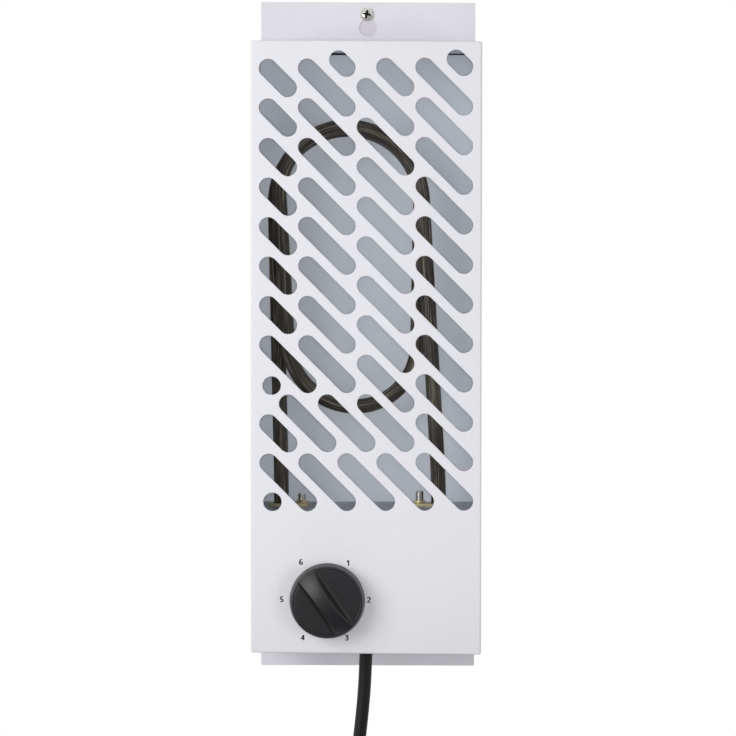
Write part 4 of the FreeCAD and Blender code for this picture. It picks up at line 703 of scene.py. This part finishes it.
DIAL_X, DIAL_Z, FIGURE, WIDE, STROKE, INK = -23.17, -330.17, 3.1, 1.22, 0.19, 0.03
figures = {1: [[(0.1, 0.7), (0.24, 0.77), (0.34, 0.96)], [(0.36, 0.98), (0.36, 0.0)]],
           2: [bow(0.28, 0.69, 0.2, 0.235, 165, -25) + [(0.07, 0.07), (0.53, 0.07)]],
           3: [bow(0.26, 0.71, 0.18, 0.21, 150, -80) + bow(0.26, 0.28, 0.21, 0.215, 80, -150)],
           4: [[(0.4, 0.0), (0.4, 0.96)], [(0.38, 0.92), (0.07, 0.27), (0.56, 0.27)]],
           5: [[(0.5, 0.92), (0.16, 0.92), (0.1, 0.47)], bow(0.27, 0.29, 0.21, 0.225, 140, -150)],
           6: [bow(0.28, 0.28, 0.2, 0.215, 0, 360), bow(0.29, 0.5, 0.22, 0.43, 55, 180) + [(0.07, 0.28)]]}
places = {1: (32.1, 24.7), 2: (89.8, 24.9), 3: (149.8, 24.8), 4: (210.1, 24.7), 5: (270.6, 24.3),
          6: (328.0, 25.2)}
print_points, print_faces = [], []
for digit, (turn, reach) in places.items():
    x = DIAL_X + reach * math.sin(math.radians(turn)) - 0.29 * WIDE * FIGURE
    z = DIAL_Z + reach * math.cos(math.radians(turn)) - 0.5 * FIGURE
    for stroke in figures[digit]:
        line = [Vector(spot) for spot in stroke]
        start = len(print_points)
        for k, spot in enumerate(line):
            before = (spot - line[k - 1]).normalized() if k else (line[1] - spot).normalized()
            after = (line[k + 1] - spot).normalized() if k + 1 < len(line) else before
            along = (before + after).normalized()
            half = STROKE / 2 / max(0.6, along.dot(before))
            for side in (-half, half):
                edge = spot + Vector((-along.y, along.x)) * side
                print_points.append((x + edge.x * WIDE * FIGURE, PANEL - INK, z + edge.y * FIGURE))
        for k in range(start, len(print_points) - 2, 2):
            print_faces.append((k, k + 1, k + 3, k + 2))
print_black = finish("print_black", srgb(16, 16, 18), 0.6, grain=3000, tone=0.15, bump=0.02, specular=0.3)
made("dial_numbers", print_points, print_faces, print_black, [])


# Cord bushing: a short sleeve of black nylon, snapped into the floor of the cover round the mains
# cord, so that the sheet's edge doesn't cut it.
gland_black = finish("gland_black", srgb(26, 26, 28), 0.45, grain=900, tone=0.1, specular=0.4)
dress("cable_gland", gland_black)


# Mains cord: round black rubber cord, 1.5 m long. It leaves the floor of the cover, hangs down with
# a slight drift to the left, and its spare length is wound into a tied coil that ends at the plug.
CORD_RADIUS, CORD_DEPTH, LAYER, HALF_TURN_POINTS = 3.75, -35.0, 8.0, 9
UPPER_DEPTH = CORD_DEPTH - LAYER
cord_route = [(0, -345), (-0.4, -376), (-3.2, -408), (-7.5, -441), (-28.7, -462.2)]
reaches = [48, 48, 40, 40, 32, 32, 40, 40, 48, 48, 56]
CROSSING, COIL_ENTRY, LAST_REACH, LAST_DROP = 4, 7.5, 56.6, 7.5
inward = Vector((-1, -1)).normalized()
split = Vector((-1, 1)).normalized()
coil_centre = Vector(cord_route[-1]) + inward * COIL_ENTRY - split * reaches[0]
cord_line = [(x, CORD_DEPTH, z) for x, z in cord_route]
for k, (first, second) in enumerate(zip(reaches, reaches[1:])):
    side = (-1) ** k
    middle = coil_centre + split * (side * (first - second) / 2)
    radius = (first + second) / 2 / math.cos(math.pi / 2 / HALF_TURN_POINTS)
    for j in range(HALF_TURN_POINTS):
        share = (j + 0.5) / HALF_TURN_POINTS
        turn = math.pi * (j + 0.5) / HALF_TURN_POINTS
        spot = middle + (split * math.cos(turn) + inward * math.sin(turn)) * (side * radius)
        climb = smooth(CROSSING, CROSSING + 1, k + share)
        cord_line.append((spot.x, CORD_DEPTH - LAYER * climb, spot.y))
for turn in (145, 165):
    angle = math.radians(turn)
    cord_line.append((coil_centre.x + LAST_REACH * math.cos(angle), UPPER_DEPTH,
                      coil_centre.y + LAST_REACH * math.sin(angle)))
plug_x, plug_y, plug_z = coil_centre.x - reaches[-1], UPPER_DEPTH, coil_centre.y - LAST_DROP
cord_line += [(plug_x, plug_y, coil_centre.y), (plug_x, plug_y, plug_z)]
cord_curve = bpy.data.curves.new("mains_cord_line", "CURVE")
cord_curve.dimensions = "3D"
cord_curve.bevel_depth = CORD_RADIUS * MM
cord_curve.bevel_resolution = 6
cord_curve.use_fill_caps = True
cord_curve.resolution_u = 8
lead = cord_curve.splines.new("NURBS")
lead.points.add(len(cord_line) - 1)
for point, spot in zip(lead.points, cord_line):
    point.co = [*(c * MM for c in spot), 1]
lead.order_u = 3
lead.use_endpoint_u = True
cord_black = finish("cord_black", srgb(28, 28, 30), 0.42, grain=1200, tone=0.08, rough_tone=0.08, bump=0.1,
                    relief=0.03, specular=0.28)
cord_curve.materials.append(cord_black)
cord = bpy.data.objects.new("mains_cord_fine", cord_curve)
bpy.context.scene.collection.objects.link(cord)
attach(cord, "case")
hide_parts("mains_cord", "cord_coil")


# Coil tie: black woven hook-and-loop strap with fine ribs. It goes once round the bundle of turns,
# with its end pressed onto itself.
TIE_INNER, TIE_OUTER, TIE_ROOM, TIE_CORNER = 28.1, 56.2, 4.05, 2.0


def strap_finish():
    """Woven surface with ribs over its grain."""
    material = finish("strap_weave", srgb(40, 40, 43), 0.85, grain=2500, tone=0.2, bump=0.5, relief=0.1)
    tree = material.node_tree
    place = next(n for n in tree.nodes if n.type == "TEX_COORD")
    grain = next(n for n in tree.nodes if n.type == "BUMP")
    ribs = tree.nodes.new("ShaderNodeTexWave")
    ribs.inputs["Scale"].default_value = 420
    ribs.inputs["Distortion"].default_value = 1.5
    tree.links.new(place.outputs["Object"], ribs.inputs["Vector"])
    ridge = tree.nodes.new("ShaderNodeBump")
    ridge.inputs["Strength"].default_value = 0.4
    ridge.inputs["Distance"].default_value = 0.15 * MM
    tree.links.new(ribs.outputs["Fac"], ridge.inputs["Height"])
    tree.links.new(grain.outputs["Normal"], ridge.inputs["Normal"])
    tree.links.new(ridge.outputs["Normal"], tree.nodes["Principled BSDF"].inputs["Normal"])
    return material


def tie_outline(grow):
    """Section of the strap's loop round the bundle, as distance outward and depth."""
    front, back = UPPER_DEPTH - TIE_ROOM, CORD_DEPTH + TIE_ROOM
    return box_outline(TIE_INNER, TIE_OUTER, front, back, grow, TIE_CORNER, 8)


tie_points, tie_faces, tie_rows = [], [], []
tie_levels = [(-6, 0.5), (-5.8, 1.0), (0, 1.1), (5.8, 1.0), (6, 0.5), (5.8, 0.05), (0, 0.05), (-5.8, 0.05)]
for along, grow in tie_levels:
    start = len(tie_points)
    for reach, y in tie_outline(grow):
        spot = coil_centre - inward * reach + split * along
        tie_points.append((spot.x, y, spot.y))
    tie_rows.append(list(range(start, len(tie_points))))
bands(tie_faces, tie_rows + tie_rows[:1])
strap = made("coil_strap", tie_points, tie_faces, strap_finish(), ["coil_tie"], crease=50)


# Plug: round moulded rubber body with finger grooves and a ribbed flex neck, two nickel pins with
# rounded tips, and sprung earth strips in notches at its sides.
NECK_TOP, NECK_FOOT, NECK_LENGTH, NECK_STEP = 4.75, 7.5, 28, 0.5
RIB_PITCH, RIB_DEPTH = 4.4, 0.55
PLUG_RADIUS, SHOULDER, GRIP_DEPTH, GRIPS = 18.5, 6, 0.5, 24
NOTCH_FROM, NOTCH_HALF, NOTCH_FLAT = 44.2, 4, 15.5
PIN_SPREAD, PIN_RADIUS, PIN_FROM, PIN_STRAIGHT = 9.5, 2.4, 67.9, 84.5
plug_profile = [(3.9, 0)]
for k in range(57):
    fall = NECK_STEP * k
    radius = NECK_TOP + (NECK_FOOT - NECK_TOP) * fall / NECK_LENGTH
    beat = abs(((fall - 3) / RIB_PITCH) % 1 - 0.5) * 2
    radius -= RIB_DEPTH * smooth(0.55, 0.85, beat) if 4 < fall < 25 else 0
    plug_profile.append((radius, fall))
plug_profile += [(NECK_FOOT + (PLUG_RADIUS - NECK_FOOT) * math.sin(t),
                  NECK_LENGTH + SHOULDER * (1 - math.cos(t))) for t in quarter(10)]
plug_profile += [(PLUG_RADIUS, 36), (PLUG_RADIUS, 67), (18.1, 67.7), (17.4, 68), (4, 68), (0.01, 68)]
pin_profile = [(PIN_RADIUS, PIN_FROM), (PIN_RADIUS, PIN_STRAIGHT)]
pin_profile += [(PIN_RADIUS * math.cos(t), PIN_STRAIGHT + PIN_RADIUS * math.sin(t))
                for t in quarter(8)[1:-1]]
pin_profile += [(0.05, PIN_STRAIGHT + PIN_RADIUS)]


def plug_skin(row, turn):
    """Point of the neck or the body, with the finger grooves and the flats of the notches."""
    radius, fall = plug_profile[row]
    if 34 <= fall < 66:
        radius -= GRIP_DEPTH * smooth(0.7, 0.95, math.cos(turn * GRIPS)) * smooth(34, 36, fall)
    across, depth = radius * math.cos(turn), radius * math.sin(turn)
    if fall > NOTCH_FROM and abs(across) < NOTCH_HALF:
        depth = max(-NOTCH_FLAT, min(NOTCH_FLAT, depth))
    return plug_x + across, plug_y + depth, plug_z - fall


def pin(offset, row, turn):
    """Point of a pin beside the plug's axis."""
    radius, fall = pin_profile[row]
    return plug_x + offset + radius * math.cos(turn), plug_y + radius * math.sin(turn), plug_z - fall


plug_points, plug_faces = [], []
polar(plug_points, plug_faces, len(plug_profile), 192, plug_skin)
plug_black = finish("plug_black", srgb(42, 42, 45), 0.5, grain=1500, tone=0.1, rough_tone=0.08, bump=0.25,
                    relief=0.04)
plug = made("plug_moulding", plug_points, plug_faces, plug_black, ["mains_plug"], crease=40)
pin_points, pin_faces = [], []
for offset in (-PIN_SPREAD, PIN_SPREAD):
    polar(pin_points, pin_faces, len(pin_profile), 40, lambda row, turn: pin(offset, row, turn))
pin_nickel = finish("pin_nickel", srgb(208, 204, 196), 0.16, metal=1, grain=1200, tone=0.04)
pins = made("plug_pin_pair", pin_points, pin_faces, pin_nickel, ["plug_pins"], crease=40)
dress("plug_earth_strips", pin_nickel)


# Studio: a pale floor below the object and the bit of wall that shows in the keyhole. The
# surroundings are white, and dimmer in mirrors from the camera's side and from below. A soft key lamp
# stands at the upper left, a fading spot at the camera and matt lamps all round.
FLOOR_RADIUS, FLOOR_LEVEL, FLOOR_SIDES, WALL_DEPTH = 0.45, -0.95, 96, -0.25


def staged(name, points, face, material):
    """Flat backdrop that isn't part of the object."""
    mesh = bpy.data.meshes.new(name)
    mesh.from_pydata(points, [], [tuple(face)])
    mesh.materials.append(material)
    backdrop = bpy.data.objects.new(name, mesh)
    bpy.context.scene.collection.objects.link(backdrop)


floor_turns = [2 * math.pi * k / FLOOR_SIDES for k in range(FLOOR_SIDES)]
floor_rim = [(FLOOR_RADIUS * math.cos(t), FLOOR_RADIUS * math.sin(t), FLOOR_LEVEL) for t in floor_turns]
floor_paint = finish("floor_paint", srgb(244, 244, 246), 0.9, grain=40, tone=0.01, bump=0.02)
staged("floor", floor_rim, range(FLOOR_SIDES), floor_paint)
wall_points = []
wall_ring = ring_at(wall_points, keyhole(0.02), WALL_DEPTH)
wall_paint = finish("wall_paint", srgb(216, 211, 219), 0.9, grain=300, tone=0.02)
staged("wall_patch", [Vector(p) * MM for p in wall_points], reversed(wall_ring), wall_paint)

world = bpy.data.worlds.new("studio")
bpy.context.scene.world = world
world.use_nodes = True
tree = world.node_tree
path = tree.nodes.new("ShaderNodeLightPath")
ambient = tree.nodes["Background"]
ambient.inputs["Color"].default_value = (0.94, 0.96, 1, 1)
ambient.inputs["Strength"].default_value = 0.25
white = tree.nodes.new("ShaderNodeBackground")
white.inputs["Color"].default_value = (1, 1, 1, 1)
mirrored = tree.nodes.new("ShaderNodeBackground")
mirrored.inputs["Color"].default_value = (1, 1, 1, 1)
toward = tree.nodes.new("ShaderNodeTexCoord")
axes = tree.nodes.new("ShaderNodeSeparateXYZ")
tree.links.new(toward.outputs["Generated"], axes.inputs["Vector"])
level = tree.nodes.new("ShaderNodeMath")
level.operation = "MULTIPLY"
for factor, (axis, *spans) in zip(level.inputs, (("Y", -0.95, -0.3, 0.5, 1), ("Z", -0.6, 0.1, 0.08, 1))):
    share = tree.nodes.new("ShaderNodeMapRange")
    for socket, value in zip(("From Min", "From Max", "To Min", "To Max"), spans):
        share.inputs[socket].default_value = value
    tree.links.new(axes.outputs[axis], share.inputs["Value"])
    tree.links.new(share.outputs["Result"], factor)
tree.links.new(level.outputs[0], mirrored.inputs["Strength"])
surroundings = ambient
for ray, seen in (("Is Glossy Ray", mirrored), ("Is Transmission Ray", white), ("Is Camera Ray", white)):
    either = tree.nodes.new("ShaderNodeMixShader")
    tree.links.new(path.outputs[ray], either.inputs["Fac"])
    tree.links.new(surroundings.outputs[0], either.inputs[1])
    tree.links.new(seen.outputs["Background"], either.inputs[2])
    surroundings = either
tree.links.new(surroundings.outputs[0], tree.nodes["World Output"].inputs["Surface"])


def lamp(name, place, width, power, aim=(0, -0.05, -0.18), beam=None):
    """Square soft lamp, or a round one with a beam of so many degrees that fades towards its edge."""
    light = bpy.data.lights.new(name, "SPOT" if beam else "AREA")
    light.energy = power
    if beam:
        light.shadow_soft_size = width / 2
        light.spot_size = math.radians(beam)
        light.spot_blend = 0.75
    else:
        light.shape = "SQUARE"
        light.size = width
    holder = bpy.data.objects.new(name, light)
    bpy.context.scene.collection.objects.link(holder)
    holder.location = place
    holder.rotation_euler = (Vector(aim) - Vector(place)).to_track_quat("-Z", "Y").to_euler()
    return holder


lamp("key", (-0.68, -0.85, 0.02), 0.7, 5.8)
matt_lamps = [lamp("side", (0.8, -1.1, -0.35), 0.5, 2.4),
              lamp("rear left", (-1.1, 1.0, -0.1), 0.8, 11),
              lamp("rear right", (1.1, 1.0, -0.1), 0.8, 11),
              lamp("top", (0, 0.3, 1.1), 0.4, 4.5),
              lamp("front", (0.0197, -1.3955, -0.1689), 0.06, 16.8, aim=(0, -0.07, -0.12), beam=29.5)]
for holder in matt_lamps:
    holder.visible_glossy = False


# Camera: just above the middle of the case and a little to the right of it, looking back at it and
# slightly down through a long lens.
camera = bpy.data.cameras.new("camera")
camera.lens = 115.25
camera.sensor_width = 36
viewer = bpy.data.objects.new("camera", camera)
bpy.context.scene.collection.objects.link(viewer)
viewer.location = (0.01974, -1.3955, -0.16888)
viewer.rotation_euler = Euler((math.radians(90 - 1.316), math.radians(-0.064), math.radians(0.808)))
bpy.context.scene.camera = viewer
bpy.context.scene.view_settings.view_transform = "Standard"
